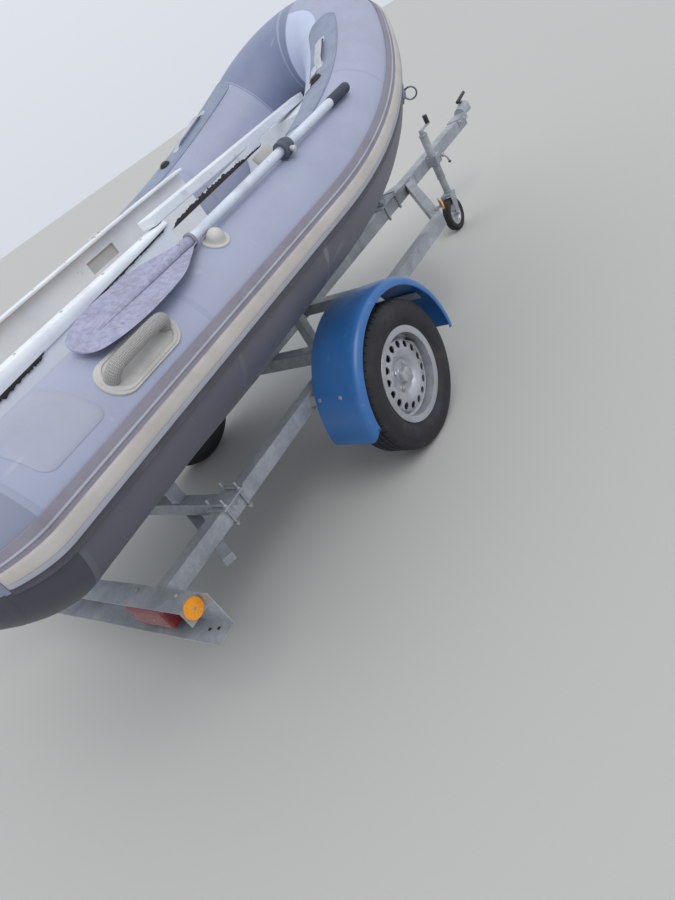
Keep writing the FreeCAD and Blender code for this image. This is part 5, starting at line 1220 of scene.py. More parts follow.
def oar():
    """Oar: alloy shaft, ridged grip, collar with its pin head, and the blade with its socket and spine.

    At a share t of the blade's length its half breadth is b(t) from the outline. Its height over the mid
    surface is the cube root of (plate cubed plus spine cubed): the plate thins with the cube of the share
    of b, and the spine is a half round of the radius r(t), with a crease sunk along its foot.
    """
    aft, fore = row(OAR_AFT), row(OAR_FORE)
    run = unit(fore - aft)
    lift = row([0.0, -OAR_OUT, OAR_AFT[2]]) - row([0.0, 0.0, 0.0])
    across = unit(np.cross(run, lift))
    up = np.cross(across, run)
    shaft = Shell()
    turned(shaft, [(0, 0.001), (0.0142, 0.001), (0.0158, 0.003), (0.0158, 0.86), (0.0158, 0.8828), (0, 0.8828)],
           aft, run, 40)
    shaft.make("oar_shaft_skin", "oar_alloy", "oar_alloy", "oar_shaft", 30)

    grip = Shell()
    profile = [(0, 0.0002), (0.0170, 0.0002), (0.0187, 0.0022)]
    for start in np.arange(0.012, 0.116, 0.0085):
        profile += [(0.0188, start - 0.0022), (0.0176, start - 0.0010), (0.0176, start + 0.0010),
                    (0.0188, start + 0.0022)]
    turn = np.linspace(0, np.pi / 2, 9)[1:]
    profile += [(0.0188 * math.cos(t) + 1e-6, 0.125 + 0.0186 * math.sin(t)) for t in turn[:-1]] + [(0, 0.1436)]
    turned(grip, profile, fore, run, 36)
    grip.make("oar_grip_skin", "oar_black", "oar_black", "oar_grip", 32)

    collar = Shell()
    start = aft + (fore - aft) * OAR_COLLAR_AT - run * 0.026
    ring = [(0.0163, 0.0), (0.0262, 0.0), (0.0285, 0.0022), (0.0285, 0.010), (0.0268, 0.0125), (0.0268, 0.0225),
            (0.0298, 0.0255), (0.0298, 0.0355), (0.0270, 0.0385), (0.0270, 0.0470), (0.0252, 0.0520),
            (0.0163, 0.0520)]
    turned(collar, ring, start, run, 44, close_v=True)
    knob = [(0, 0.020), (0.0088, 0.020), (0.0088, 0.0345), (0.0098, 0.0365), (0.0098, 0.0400), (0.0084, 0.0432),
            (0.0045, 0.0440), (0, 0.0440)]
    turned(collar, knob, start + run * 0.026, across, 28, mark=1)
    for angle in (70, 250):
        way = math.cos(math.radians(angle)) * up + math.sin(math.radians(angle)) * across
        turned(collar, [(0, 0.026), (0.0032, 0.026), (0.0032, 0.0288), (0.0024, 0.0296), (0, 0.0298)],
               start + run * 0.0305, way, 12, mark=1)
    collar.make("oar_collar_skin", "collar_grey cream_fitting", "oar_grey", "oar_collar", 30)

    blade = Shell()
    outline = smooth_path(BLADE_OUTLINE, 84)
    t, breadth = outline[:, :1], np.maximum(outline[:, 1:2], 0.004) * BLADE_HALF_W
    spine = np.interp(t, [0.0, 0.10, 0.45, 0.78, 0.86], [0.0218, 0.0185, 0.0130, 0.0050, 0.0020])
    foot = np.minimum(spine * FOOT_RATIO, breadth * 0.93)
    near = foot / FOOT_RATIO * np.array([0, 0.3, 0.55, 0.75, 0.88, 0.96, 1.0, 1.16, FOOT_RATIO])
    far = foot + (breadth - foot) * np.array([0.12, 0.28, 0.46, 0.64, 0.80, 0.91, 0.97, 1.0])
    half = np.hstack([near, far])
    plate = 0.0036 * np.sqrt(1 - np.clip(half / breadth, 0, 1) ** 3) * np.clip(breadth / 0.02, 0, 1)
    rise = np.sqrt(np.maximum((foot / FOOT_RATIO) ** 2 - half ** 2, 0)) * np.clip((0.87 - t) / 0.06, 0, 1)
    height = np.cbrt(plate ** 3 + rise ** 3)
    crease = np.zeros(half.shape[1])
    crease[6:8] = 0.0016
    height = np.maximum(height - crease * (t < CREASE_END_T), 0)
    cup = 0.010 * np.clip(t, 0, 1) ** 1.5 * (half / BLADE_HALF_W) ** 2
    side = np.hstack([half[:, ::-1], -half[:, 1:], -half[:, -2::-1], half[:, 1:-1]])
    top, low = cup + height, cup - height
    lift = np.hstack([top[:, ::-1], top[:, 1:], low[:, -2::-1], low[:, 1:-1]])
    points = aft - run * (BLADE_L * t)[..., None] + across * side[..., None] + up * lift[..., None]
    columns = half.shape[1]
    tones = np.zeros(side.shape[1], int)
    # Two columns beside the spine's foot on one side take the dark collar plastic: painted shadow of the spine along
    # its crease
    tones[[columns - 9, columns - 8]] = 3
    marks = np.where((t[:-1] < CREASE_END_T) & (t[:-1] > 0.02), tones, 0)
    blade.grid(points, close_v=True, mark=marks.ravel(), cap="both")
    turned(blade, [(0.0163, -0.012), (0.0206, -0.012), (0.0228, -0.0105), (0.0228, -0.002), (0.0205, 0.0),
                   (0.0163, 0.0)], aft + run * 0.0005, run, 40, mark=1, close_v=True)
    turned(blade, [(0, 0.016), (0.0044, 0.016), (0.0042, 0.0212), (0.0028, 0.0222), (0, 0.0225)],
           aft - run * 0.055 + across * 0.001, up, 16, mark=2)
    blade.make("oar_blade_skin", "oar_grey strake_brown zinc_bolt collar_grey", "oar_grey", "oar_blade", 32)


# Coamings' lips in the boat's frame: stern end, height they hang from, length by side; ends of the loose board
COAMING_X = -1.19
COAMING_Z = 0.2440
COAMING_LENGTHS = ((-1, 0.935), (1, 1.42))
BOARD_BACK = (-0.300, -0.362)
BOARD_FRONT = (1.235, 0.020)


def ragged(count, seed, smooth=3):
    """Even noise between 0 and 1 along a line: seeded steps averaged over a few neighbours."""
    steps = np.random.default_rng(seed).random(count + smooth)
    return np.convolve(steps, np.ones(smooth) / smooth, "valid")[:count]


def boards_wear(peel):
    """White lips under the loose board and along the coamings, the board's lip peeling at its lower edge, dark strips
    of painted shadow under the coamings' lips, and screws.

    A lip's outer face hangs from the board's edge by a depth that grows evenly along it; the coamings'
    lips are deepest at the stern.
    """
    peel_and_shade, lips, screws = Shell(), Shell(), Shell()
    down = row([0, 0, -1.0]) - row([0, 0, 0.0])
    back, front = np.array(BOARD_BACK), np.array(BOARD_FRONT)
    way = unit(np.append(front - back, 0.0))
    outboard = np.array([way[1], -way[0], 0.0])
    rest_z = board_heights()

    def edge(share, drop, out):
        """Points by share along the loose board, drop below its underside and distance outboard."""
        share = np.asarray(share, float)
        flat = back + (front - back) * share[..., None]
        z = rest_z[0] + (rest_z[1] - rest_z[0]) * share - drop
        return row(np.concatenate([flat, z[..., None]], -1) + outboard * out)

    t = np.linspace(0.015, 0.60, 90)
    depth = (0.006 + 0.030 * t / 0.6) * np.clip((0.60 - t) * 30 + 0.25, 0, 1)
    ring = ((0.0308, 0), (0.0308, 0.85), (0.0298, 1.0), (0.0240, 1.0), (0.0230, 0.85), (0.0230, 0))
    lips.grid(np.stack([edge(t, depth * share - 0.001 * (share == 0), out) for out, share in ring], 1), close_v=True,
              cap="both")
    for seed, first, last, wide in ((3, 0.04, 0.47, peel), (8, 0.40, 0.585, peel * 0.4)):
        s = np.linspace(first, last, 180)
        swell = np.clip((0.5 + 0.5 * np.sin((s - first) / (last - first) * math.pi) ** 0.6) * wide
                        * (0.55 + 0.75 * ragged(180, seed)) * np.clip(np.minimum(s - first, last - s) * 60, 0.02, 1),
                        0.0004, 1)
        base = np.interp(s, t, depth)
        ring = ((0.0304, -0.0004), (0.0312, 0.0), (0.0312, 0.3), (0.0312, 1.0), (0.0304, 1.02))
        peel_and_shade.grid(np.stack([edge(s, base - swell * share + 0.0006, out) for out, share in ring], 1), close_v=True,
                  cap="both")
    for side, length in COAMING_LENGTHS:
        x = np.linspace(COAMING_X, COAMING_X + length, 80)
        depth = 0.010 + 0.036 * (1 - np.linspace(0, 1, 80)) ** 0.8
        ring = ((0.3878, 0.2506, 0), (0.3895, 0.2502, 0), (0.3950, COAMING_Z, 0), (0.3965, COAMING_Z, 0.55),
                (0.3940, COAMING_Z, 1), (0.3882, COAMING_Z, 1.04))
        rows = [np.column_stack([x, np.full(80, side * y), z - depth * share]) for y, z, share in ring]
        lips.grid(row(np.stack(rows, 1)), close_v=True, cap="both")
        # Dark strips under each coaming's lip: painted shadow of the gap between the lip and the tube
        for seed, first, last, wide in ((11, 0.02, 0.34, 0.013), (14, 0.55, 0.99, 0.006)):
            s = np.linspace(first, last, 120)
            swell = wide * (0.4 + ragged(120, seed + side)) * np.clip(np.minimum(s - first, last - s) * 40, 0.03, 1)
            along = COAMING_X + length * s
            low = COAMING_Z - np.interp(along, x, depth) + 0.0012
            ring = ((0.3884, 0.0), (0.3955, 0.0), (0.3955, -0.7), (0.3940, -1.0), (0.3884, -1.0))
            rows = [np.column_stack([along, np.full(120, side * y), low + swell * share]) for y, share in ring]
            peel_and_shade.grid(row(np.stack(rows, 1)), close_v=True, cap="both")
    plate = ((-0.098, 0.132), (0.088, 0.132), (0.088, 0.200), (-0.098, 0.200))
    lips.grid(row(np.array([[(x, y, z) for x, z in plate] for y in (0.3884, 0.3900)])), close_v=True, mark=1,
              cap="both")
    peel_and_shade.make("bare_wood_strips", "bare_wood", "gelcoat", sharp=60)
    lips.make("painted_lips", "gelcoat cream_fitting", "gelcoat", sharp=40)
    for side, count in ((-1, 5), (1, 8)):
        for x in np.linspace(-1.12, -1.12 + 0.19 * (count - 1), count):
            spot = row([x, side * 0.3680, 0.2502])
            turned(screws, [(0, -0.001), (0.0052, -0.001), (0.0050, 0.0008), (0.0034, 0.0017), (0.0016, 0.0019),
                            (0.0012, 0.0008), (0, 0.0007)], spot, -down, 14)
    screws.make("coaming_screws", "zinc_bolt", "ring_metal", sharp=40)


def board_heights():
    """Height of the loose board's underside at both ends, from its box."""
    low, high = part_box("long_board")
    c, s = math.cos(BOAT_PITCH), math.sin(BOAT_PITCH)
    back_x, front_x = low.x - AXLE_X, high.x - AXLE_X
    back = (low.z - BOAT_AXIS_Z) * c - back_x * s
    front = (high.z - BOAT_AXIS_Z) * c - front_x * s - 0.034
    return back, front


def weld_bead(shell, start, end, radius=0.0032):
    """Fillet weld between two places on the trailer: a round bead that ripples along, rounded at the ends."""
    start, end = trailer(*start), trailer(*end)
    length = np.linalg.norm(end - start)
    t = np.linspace(0, 1, max(8, int(length / 0.0018)))
    ripple = (1 + 0.16 * np.sin(t * length / 0.0075 * 2 * np.pi)) * np.clip(np.minimum(t, 1 - t) * 18 + 0.2, 0, 1)
    pipe(shell, start + (end - start) * t[:, None], radius, 8, (0.3, 0.5, 0.8), ripple)


def trailer_hardware():
    """Nuts and threads of the U-bolts, plate bolts and welds of the frame."""
    metal = Shell()
    up = np.array([0, 0, 1.0])
    for side in SIDES:
        out = (0, side, 0)
        for x, y in product((REAR_CROSS_X - 0.038, REAR_CROSS_X + 0.038), (-0.0303, 0.0303)):
            bolt(metal, trailer(x, side * (CLAMP_Y + y), RAIL_TOP_Z - 0.060 - 0.0005), -up, 0.0088, 0.0138)
            bolt(metal, trailer(x, side * (CLAMP_Y + y * 1.16), 0.4693), up, 0.0088, 0.030)
        for x, z in product((AXLE_PLATE_X - 0.060, AXLE_PLATE_X + 0.060), (0.380, 0.360)):
            bolt(metal, trailer(x, side * 0.5301, z), out, 0.0075, 0.012)
        for x, shift in product((REAR_CROSS_X, FRONT_CROSS_X), (-0.012, 0.012)):
            bolt(metal, trailer(x + shift, side * 0.5512, 0.438), out, 0.0072)
    for x, y in product((BOW_SUPPORT_X - 0.072, BOW_SUPPORT_X + 0.072), (-0.0403, 0.0403)):
        bolt(metal, trailer(x, y, DRAWBAR_TOP_Z - 0.0702), -up, 0.0085, 0.0122)
        bolt(metal, trailer(x, y * 1.02, 0.4812), up, 0.0085, 0.011)
    for x, y, top in ((REAR_CROSS_X, 0.045, RAIL_TOP_Z), (0.020, 0.0279, DRAWBAR_TOP_Z),
                      (0.820, 0.0279, DRAWBAR_TOP_Z)):
        for way in (-1, 1):
            bolt(metal, trailer(x + 0.012, way * y, top + 0.005), up, 0.0062)
    for x, side in product((DRAWBAR_FRONT_X - 0.105, DRAWBAR_FRONT_X - 0.040), SIDES):
        bolt(metal, trailer(x, side * 0.0402, 0.452), (0, side, 0), 0.0078)
    metal.make("frame_bolts", "zinc_bolt", "galvanised", sharp=30)

    welds = Shell()
    for side in SIDES:
        y = side * RAIL_END_Y
        for x in (REAR_CROSS_X, FRONT_CROSS_X):
            for edge in (-0.025, 0.025):
                weld_bead(welds, (x + edge, y, 0.414), (x + edge, y, 0.462))
            weld_bead(welds, (x - 0.024, y, 0.4634), (x + 0.024, y, 0.4634))
        weld_bead(welds, (1.725, side * 0.0362, 0.4636), (RAIL_MEET_X, side * 0.0362, 0.4636), 0.0036)
        for x in (1.742, 1.812):
            weld_bead(welds, (x, side * 0.0360, 0.406), (x, side * 0.0360, 0.461), 0.0034)
    for y in (-0.035, 0.035):
        weld_bead(welds, (-0.7846, y, 0.405), (-0.7846, y, 0.461))
    weld_bead(welds, (1.418, -0.020, 0.4816), (1.418, 0.020, 0.4816))
    welds.make("frame_welds", "galvanised", "galvanised", sharp=60)


def light_board_trim():
    """Screws, drain holes and clamp bolts of the light board."""
    trim = Shell()
    for y, z in product((-0.60, -0.30, 0.0, 0.30, 0.60), (0.352, 0.442)):
        bolt(trim, trailer(BOARD_BACK_X - 0.0004, y, z), (-1, 0, 0), 0.0052)
    for side in SIDES:
        for y in (0.658, 0.690):
            turned(trim, [(0, 0.0002), (0.0056, 0.0002), (0.0056, 0.0010), (0.0048, 0.0012), (0.0044, 0.0004),
                          (0, 0.0003)], trailer(-1.190 + (y - 0.64) * 0.25, side * y, 0.3330), (0, 0, 1), 20, mark=1)
        for y in (0.620, 0.430):
            bolt(trim, trailer(-1.175, side * y, 0.4632), (0, 0, 1), 0.0060)
    trim.make("light_board_screws", "zinc_bolt black_plastic", "galvanised", sharp=30)


def rear_lights():
    """Tail lamps: a dark base and a ribbed red lens, its section shrunk and swelled in fine ribs."""
    y = np.linspace(-LAMP_HALF_L, LAMP_HALF_L, 190)
    near = np.clip((LAMP_HALF_L - np.abs(y)) / 0.013, 0, 1)
    ends = 1 - 0.34 * (1 - np.sqrt(1 - (1 - near) ** 2))
    ribs = 1 - 0.010 * (0.5 + 0.5 * np.cos(y / 0.0045 * 2 * np.pi)) * (np.abs(y + 0.030) > 0.004)
    for side, label in SIDE_NAMES:
        shell = Shell()
        base_y = LAMP_OUTER_Y - LAMP_BASE_L if side > 0 else -LAMP_OUTER_Y
        block(shell, trailer(BOARD_BACK_X - 0.014, base_y, 0.3545),
              trailer(BOARD_BACK_X - 0.0004, base_y + LAMP_BASE_L, 0.4385), 0.004, mark=1)
        path = trailer(BOARD_BACK_X - 0.0400, side * LAMP_Y, LAMP_Z) + y[:, None] * [0, 1, 0]
        shell.grid(carried(rounded(0.052, 0.080, 0.014, 5), path, (0, 0, 1), ends * ribs), close_v=True, cap="both")
        for place in (-0.030, 0.083):
            bolt(shell, trailer(BOARD_BACK_X - 0.0650, side * LAMP_Y + place, LAMP_Z), (-1, 0, 0), 0.0036, mark=2)
        shell.make("tail_lamp_" + label, "lamp_red black_plastic zinc_bolt", "lamp_red",
                   "rear_lamps" if side > 0 else "", 30)


def reflectors():
    """Round side reflectors and oval front ones: domed prisms in a rim, with their screws."""
    shell = Shell()
    dome = [(0, -0.0002), (0.0320, -0.0002), (0.0320, 0.0050), (0.0312, 0.0066), (0.0288, 0.0070), (0.0282, 0.0058)]
    dome += [(0.0282 * share, 0.0058 + 0.0010 * (1 - share ** 2)) for share in (0.75, 0.5, 0.25)] + [(0, 0.0068)]
    for side in SIDES:
        centre = trailer(-1.1898, side * 0.6864, 0.4390)
        turned(shell, dome, centre, (0, side, 0), 48)
        turned(shell, [(0, 0.006), (0.0046, 0.006), (0.0044, 0.0078), (0.0026, 0.0086), (0, 0.0086)], centre,
               (0, side, 0), 18, mark=1)
        turn = math.radians(-35.0) * side
        slope = RAIL_Y / (RAIL_MEET_X - RAIL_BEND_X)
        off = 0.014
        x = RAIL_BEND_X + BRACKET_AHEAD
        y = (RAIL_Y - BRACKET_AHEAD * slope + off) * side
        face = np.array([-math.sin(turn), math.cos(turn), 0]) * side
        along = np.array([math.cos(turn), math.sin(turn), 0])
        spot = trailer(x + off, y, RAIL_TOP_Z + off)
        outline = stadium(0.094, 0.044, 16)
        rings = []
        for inset, height in ((0, 0.0001), (0, 0.0060), (0.0012, 0.0078), (0.0034, 0.0080), (0.0044, 0.0066),
                              (0.0120, 0.0074), (0.0200, 0.0078)):
            flat = outline * (1 - inset / np.maximum(np.linalg.norm(outline, axis=1, keepdims=True), 1e-6))
            rings.append(spot + flat[:, :1] * along + flat[:, 1:] * np.array([0, 0, 1.0]) + face * height)
        rings.append(np.repeat((spot + face * 0.0078)[None], len(outline), 0))
        rings.insert(0, np.repeat(spot[None], len(outline), 0))
        shell.grid(np.array(rings), close_v=True)
        for way in SIDES:
            bolt(shell, spot + along * way * 0.034 + face * 0.0066, face, 0.0034, mark=1)
    shell.make("reflector_skins", "reflector_orange zinc_bolt", "reflector_orange", "reflectors", 30)


# Tread: grooves' distances from the wheel's middle, slots in shares of a pitch, radii where its zones start
TREAD_GROOVES = (0.0165, 0.0405)
GROOVE_HALF_W = 0.0027
SIPE_HALF = 0.045
CROWN_FROM_R = 0.262
TREAD_FROM_R = 0.2745
WALL_TO_R = 0.2790

# Wheel's middle: distance from the centre plane, height above the ground
WHEEL_Y = 0.700
WHEEL_Z = 0.283

# Half section of the road tyre from the bead to the crown: radius, distance from the wheel's middle
TYRE_HALF = ((0.1655, 0.0535), (0.1760, 0.0565), (0.1870, 0.0592), (0.2040, 0.0722), (0.2240, 0.0772),
             (0.2440, 0.0762), (0.2610, 0.0698), (0.2725, 0.0648), (0.2790, 0.0580), (0.2822, 0.0500),
             (0.2829, 0.0423), (0.2829, 0.0))


def wheel_points(radius, y, turn, side):
    """Points of a wheel from radius, distance outboard of its middle and angle about its axle."""
    radius, y, turn = np.broadcast_arrays(radius, y, turn)
    return np.stack([AXLE_X + radius * np.cos(turn), side * (WHEEL_Y + y), WHEEL_Z + radius * np.sin(turn)], -1)


def road_tyre(side, label, pitches, groove_depth):
    """Road tyre: a closed section turned about the axle, with grooves and slots sunk into its crown.

    Around the tyre the columns stand in groups at the slots' edges and shear with the distance from the
    middle, so the slots run in a V. The groove mask lowers the radius between edges set as rows.
    """
    half = smooth_path(TYRE_HALF, 150)
    wall = half[half[:, 0] < WALL_TO_R][::4]
    crown_y = [0.0, 0.0070]
    for groove in TREAD_GROOVES:
        crown_y += [groove - GROOVE_HALF_W - 0.0005, groove - GROOVE_HALF_W + 0.0003,
                    groove + GROOVE_HALF_W - 0.0003, groove + GROOVE_HALF_W + 0.0005]
    crown_y += [0.0285, 0.0480, 0.0530, 0.0575]
    crown_y = np.array(sorted(crown_y))[::-1]
    top = half[half[:, 0] > CROWN_FROM_R]
    order = np.argsort(top[:, 1])
    crown_r = np.interp(crown_y, top[order, 1], top[order, 0])
    outer = np.vstack([wall, np.column_stack([crown_r, crown_y])])
    on_wall = outer[:, 0] < CROWN_FROM_R

    def ridge(radius, at, wide, high):
        """Raised ring round the side wall: a bell curve of the radius."""
        return high * np.exp(-((radius - at) / wide) ** 2)

    swell = (ridge(outer[:, 0], 0.2120, 0.0022, 0.0012) + ridge(outer[:, 0], 0.2440, 0.0016, 0.0010)
             + ridge(outer[:, 0], 0.1880, 0.0030, 0.0016))
    outer[:, 1] += np.where(on_wall, swell, 0) * np.where(outer[:, 1] + swell > 0.0773, 0.2, 1)
    inner = np.array([(0.1655, 0.040), (0.1910, 0.0460), (0.2635, 0.0577)])
    section = np.vstack([outer * [1, -1], outer[::-1][1:], inner, inner[::-1] * [1, -1]])
    count_outer = 2 * len(outer) - 1
    edges = np.array([-SIPE_HALF - 0.012, -SIPE_HALF + 0.008, SIPE_HALF - 0.008, SIPE_HALF + 0.012])
    group_at = np.concatenate([edges, 0.5 + edges])
    columns = (np.arange(pitches)[:, None] + group_at[None]).ravel() / pitches
    radius, y = section[:, 0], section[:, 1]
    slant = 0.42 / pitches * np.clip(np.abs(y) / 0.05, 0, 1.3) * np.where(np.arange(len(y)) < count_outer, 1, 0)
    turn = 2 * np.pi * (columns[:, None] + slant[None])
    phase = np.mod(columns * pitches + 0.25, 1.0)
    at_first = (np.abs(phase - 0.25) < SIPE_HALF)[:, None]
    at_second = (np.abs(phase - 0.75) < SIPE_HALF)[:, None]
    crown = (np.arange(len(y)) < count_outer) & (radius > TREAD_FROM_R)
    away = np.abs(y)
    in_groove = np.zeros(len(y), bool)
    for groove in TREAD_GROOVES:
        in_groove |= np.abs(away - groove) < GROOVE_HALF_W
    rib = np.digitize(away, TREAD_GROOVES)
    slot = np.where(rib[None] == 1, at_second, at_first) & crown[None] & (away > 0.0035)[None]
    depth = np.where(in_groove & crown, groove_depth, 0)[None] * np.ones_like(turn)
    depth = np.maximum(depth, np.where(slot, np.where(rib == 2, 0.0050, 0.0036)[None], 0))
    shell = Shell()
    points = wheel_points(radius[None] - depth, y[None], turn, side)
    shell.grid(points, close_u=True, close_v=True)
    shell.make("road_tyre_" + label, "tyre_rubber", "tyre_rubber", "tyre_" + label, 32, "wheel_" + label)


def ring_of(shell, profile, side, count=96, mark=0, closed=True):
    """Profile of (radius, outboard) pairs turned about the wheel's axle."""
    profile = np.array(profile)
    turn = np.linspace(0, 2 * np.pi, count, endpoint=False)
    points = wheel_points(profile[None, :, 0], profile[None, :, 1], turn[:, None], side)
    shell.grid(points, close_u=True, close_v=closed, mark=mark)


# Rim barrel: radius, distance outboard of the wheel's middle; then the disc's outer face from hub to barrel
BARREL = ((0.1610, -0.0550), (0.1650, -0.0560), (0.1720, -0.0580), (0.1820, -0.0580), (0.1832, -0.0600),
          (0.1820, -0.0620), (0.1660, -0.0620), (0.1570, -0.0600), (0.1570, -0.0350), (0.1410, -0.0250),
          (0.1410, 0.0110), (0.1570, 0.0210), (0.1570, 0.0600), (0.1660, 0.0620), (0.1820, 0.0620),
          (0.1832, 0.0600), (0.1820, 0.0580), (0.1720, 0.0580), (0.1650, 0.0560), (0.1647, 0.0230),
          (0.1450, 0.0130), (0.1450, -0.0270), (0.1647, -0.0370), (0.1647, -0.0550))
DISC_FACE = ((0.0340, 0.0220), (0.0580, 0.0220), (0.0620, 0.0232), (0.0700, 0.0320), (0.0740, 0.0345),
             (0.0960, 0.0400), (0.1060, 0.0390), (0.1300, 0.0345), (0.1360, 0.0310), (0.1405, 0.0240), (0.1418, 0.0180))

# Disc's holes, the ring that they lie in, the disc's thickness and the wheel bolts
HOLE_AT = 0.118
HOLE_R = 0.0138
HOLE_COUNT = 16
RING_LOW_R = 0.0960
RING_HIGH_R = 0.1360
DISC_T = 0.005
STUD_R = 0.049
STUD_COUNT = 4


def pierced_ring(shell, side):
    """The disc's ring of holes: each sector is a grid from its hole's edge out to the sector's border.

    A ray from the hole's centre at an angle meets the border at the smaller of the half breadths divided by
    the cosine and by the sine; the front, the back and the hole's wall are rows of one closed strip.
    """
    centre = (RING_LOW_R + RING_HIGH_R) / 2
    face = np.array(DISC_FACE)
    ray = np.linspace(0, 2 * np.pi, 48, endpoint=False)
    half_turn = math.pi / HOLE_COUNT
    reach = np.minimum((RING_HIGH_R - RING_LOW_R) / 2 / np.maximum(np.abs(np.cos(ray)), 1e-9),
                       half_turn * HOLE_AT / np.maximum(np.abs(np.sin(ray)), 1e-9))
    shares = np.array([0.0, 0.04, 0.3, 1.0])
    distance = HOLE_R + (reach[None] - HOLE_R) * shares[:, None]
    radius = centre + (HOLE_AT - centre) * (1 - shares[:, None]) + distance * np.cos(ray)
    around = distance * np.sin(ray) / HOLE_AT
    front = np.interp(radius, face[:, 0], face[:, 1])
    front[0] -= 0.0008
    for index in range(HOLE_COUNT):
        turn = 2 * math.pi * index / HOLE_COUNT + around
        top = wheel_points(radius, front, turn, side)
        bottom = wheel_points(radius, front - DISC_T, turn, side)
        shell.grid(np.concatenate([bottom[::-1], top]), close_v=True)


def road_rim(side, label):
    """Pressed rim: barrel, dished disc with its ring of holes, hub, cap, bolts and valve."""
    shell = Shell()
    ring_of(shell, BARREL, side, 112)
    # Dark ring behind the disc, seen through its holes: painted shade inside the wheel
    ring_of(shell, [(0.0540, 0.0120), (0.1405, 0.0100), (0.1405, 0.0085), (0.0540, 0.0105)], side, 64, 3)
    face = np.array(DISC_FACE)
    inner = face[face[:, 0] <= RING_LOW_R]
    ring_of(shell, np.vstack([inner, (inner - [0, DISC_T])[::-1]]), side, 96)
    outer = face[face[:, 0] >= RING_HIGH_R]
    ring_of(shell, np.vstack([outer, (outer - [0.002, DISC_T])[::-1]]), side, 96)
    pierced_ring(shell, side)
    ring_of(shell, [(0.0, -0.062), (0.052, -0.062), (0.052, 0.016), (0.0505, 0.0175), (0.0, 0.0175)], side, 64,
            closed=False)
    ring_of(shell, [(0.0, 0.010), (0.0352, 0.010), (0.0352, 0.024), (0.0340, 0.0255), (0.0318, 0.0262),
                    (0.0312, 0.0280), (0.0312, 0.0405), (0.0295, 0.0452), (0.0240, 0.0482), (0.0120, 0.0498),
                    (0.0, 0.0500)], side, 48, 1, False)
    centre = np.array([AXLE_X, side * WHEEL_Y, WHEEL_Z])
    axis = np.array([0.0, side, 0.0])
    for index in range(STUD_COUNT):
        turn = 2 * math.pi * (index + 0.5) / STUD_COUNT
        spot = centre + np.array([STUD_R * math.cos(turn), side * 0.0218, STUD_R * math.sin(turn)])
        bolt(shell, spot, axis, 0.0118, mark=1, turn=turn)
    turn = 0.55
    way = np.array([math.cos(turn), 0, math.sin(turn)])
    stem = centre + way * 0.1460 + axis * 0.030
    turned(shell, [(0, -0.012), (0.0058, -0.012), (0.0056, 0.004), (0.0042, 0.010), (0.0040, 0.018), (0.0052, 0.0185),
                   (0.0052, 0.0300), (0.0042, 0.0322), (0, 0.0325)], stem, axis * 0.92 - way * 0.38, 18, mark=2)
    shell.make("road_rim_" + label, "rim_silver zinc_bolt black_plastic shadow_dark", "rim_silver",
               "rim_" + label, 30, "wheel_" + label)


# Mudguard's section: distance from the centre plane, radius about the wheel's axle
GUARD_SECTION = ((0.5805, 0.3500), (0.5900, 0.3504), (0.6500, 0.3535), (0.7100, 0.3566), (0.7480, 0.3580),
                 (0.7680, 0.3565), (0.7810, 0.3510), (0.7878, 0.3420), (0.7896, 0.3320), (0.7896, 0.3285))
GUARD_HALF_T = 0.0018


def mudguards():
    """Mudguards: a thin crowned section with a rolled outer lip, carried from ahead to behind the wheel.

    The sheet's two faces stand half its thickness off the section's line; near each end the crown dips by
    the square of the distance, like a pressed edge.
    """
    line = smooth_path(GUARD_SECTION, 44)
    tangent = unit(np.gradient(line, axis=0))
    normal = np.stack([-tangent[:, 1], tangent[:, 0]], -1)
    bead = np.linspace(-0.5 * np.pi, 0.75 * np.pi, 9)
    lip = line[-1] + np.stack([np.sin(bead) * 0.0030 - 0.0012, -np.cos(bead) * 0.0030 - 0.001], -1)
    section = np.vstack([line + normal * GUARD_HALF_T, lip[::-1], (line - normal * GUARD_HALF_T)[::-1]])
    turn = np.radians(np.concatenate([[-4.0, -3.6], np.linspace(-2.6, 182.6, 120), [183.6, 184.0]]))
    near = np.clip(np.minimum(turn - turn[0], turn[-1] - turn) / math.radians(4.0), 0, 1)
    dip = 0.0035 * (1 - near) ** 2
    across = np.clip(section[:, 0] - line[0, 0], 0, None) / (line[-1, 0] - line[0, 0])
    pull = np.radians(7.0) * (1 - np.sqrt(1 - np.clip((across - 0.79) / 0.21, 0, 1) ** 2))
    turn = turn[:, None] - pull[None] * np.clip((np.degrees(turn)[:, None] - 165.0) / 19.0, 0, 1)
    for side, label in SIDE_NAMES:
        shell = Shell()
        radius = section[None, :, 1] - dip[:, None]
        points = np.stack([AXLE_X + radius * np.cos(turn),
                           side * np.broadcast_to(section[None, :, 0], radius.shape),
                           WHEEL_Z + radius * np.sin(turn)], -1)
        shell.grid(points, close_v=True, cap="both")
        for angle in (26.5, 153.5):
            way = np.array([math.cos(math.radians(angle)), 0, math.sin(math.radians(angle))])
            for y in (0.602, 0.700):
                top = np.interp(y, line[:, 0], line[:, 1]) + 0.0017
                bolt(shell, np.array([AXLE_X, side * y, WHEEL_Z]) + way * top, way, 0.0064, mark=1)
        shell.make("mudguard_" + label, "guard_blue zinc_bolt", "guard_blue", "mudguards" if side > 0 else "", 32)


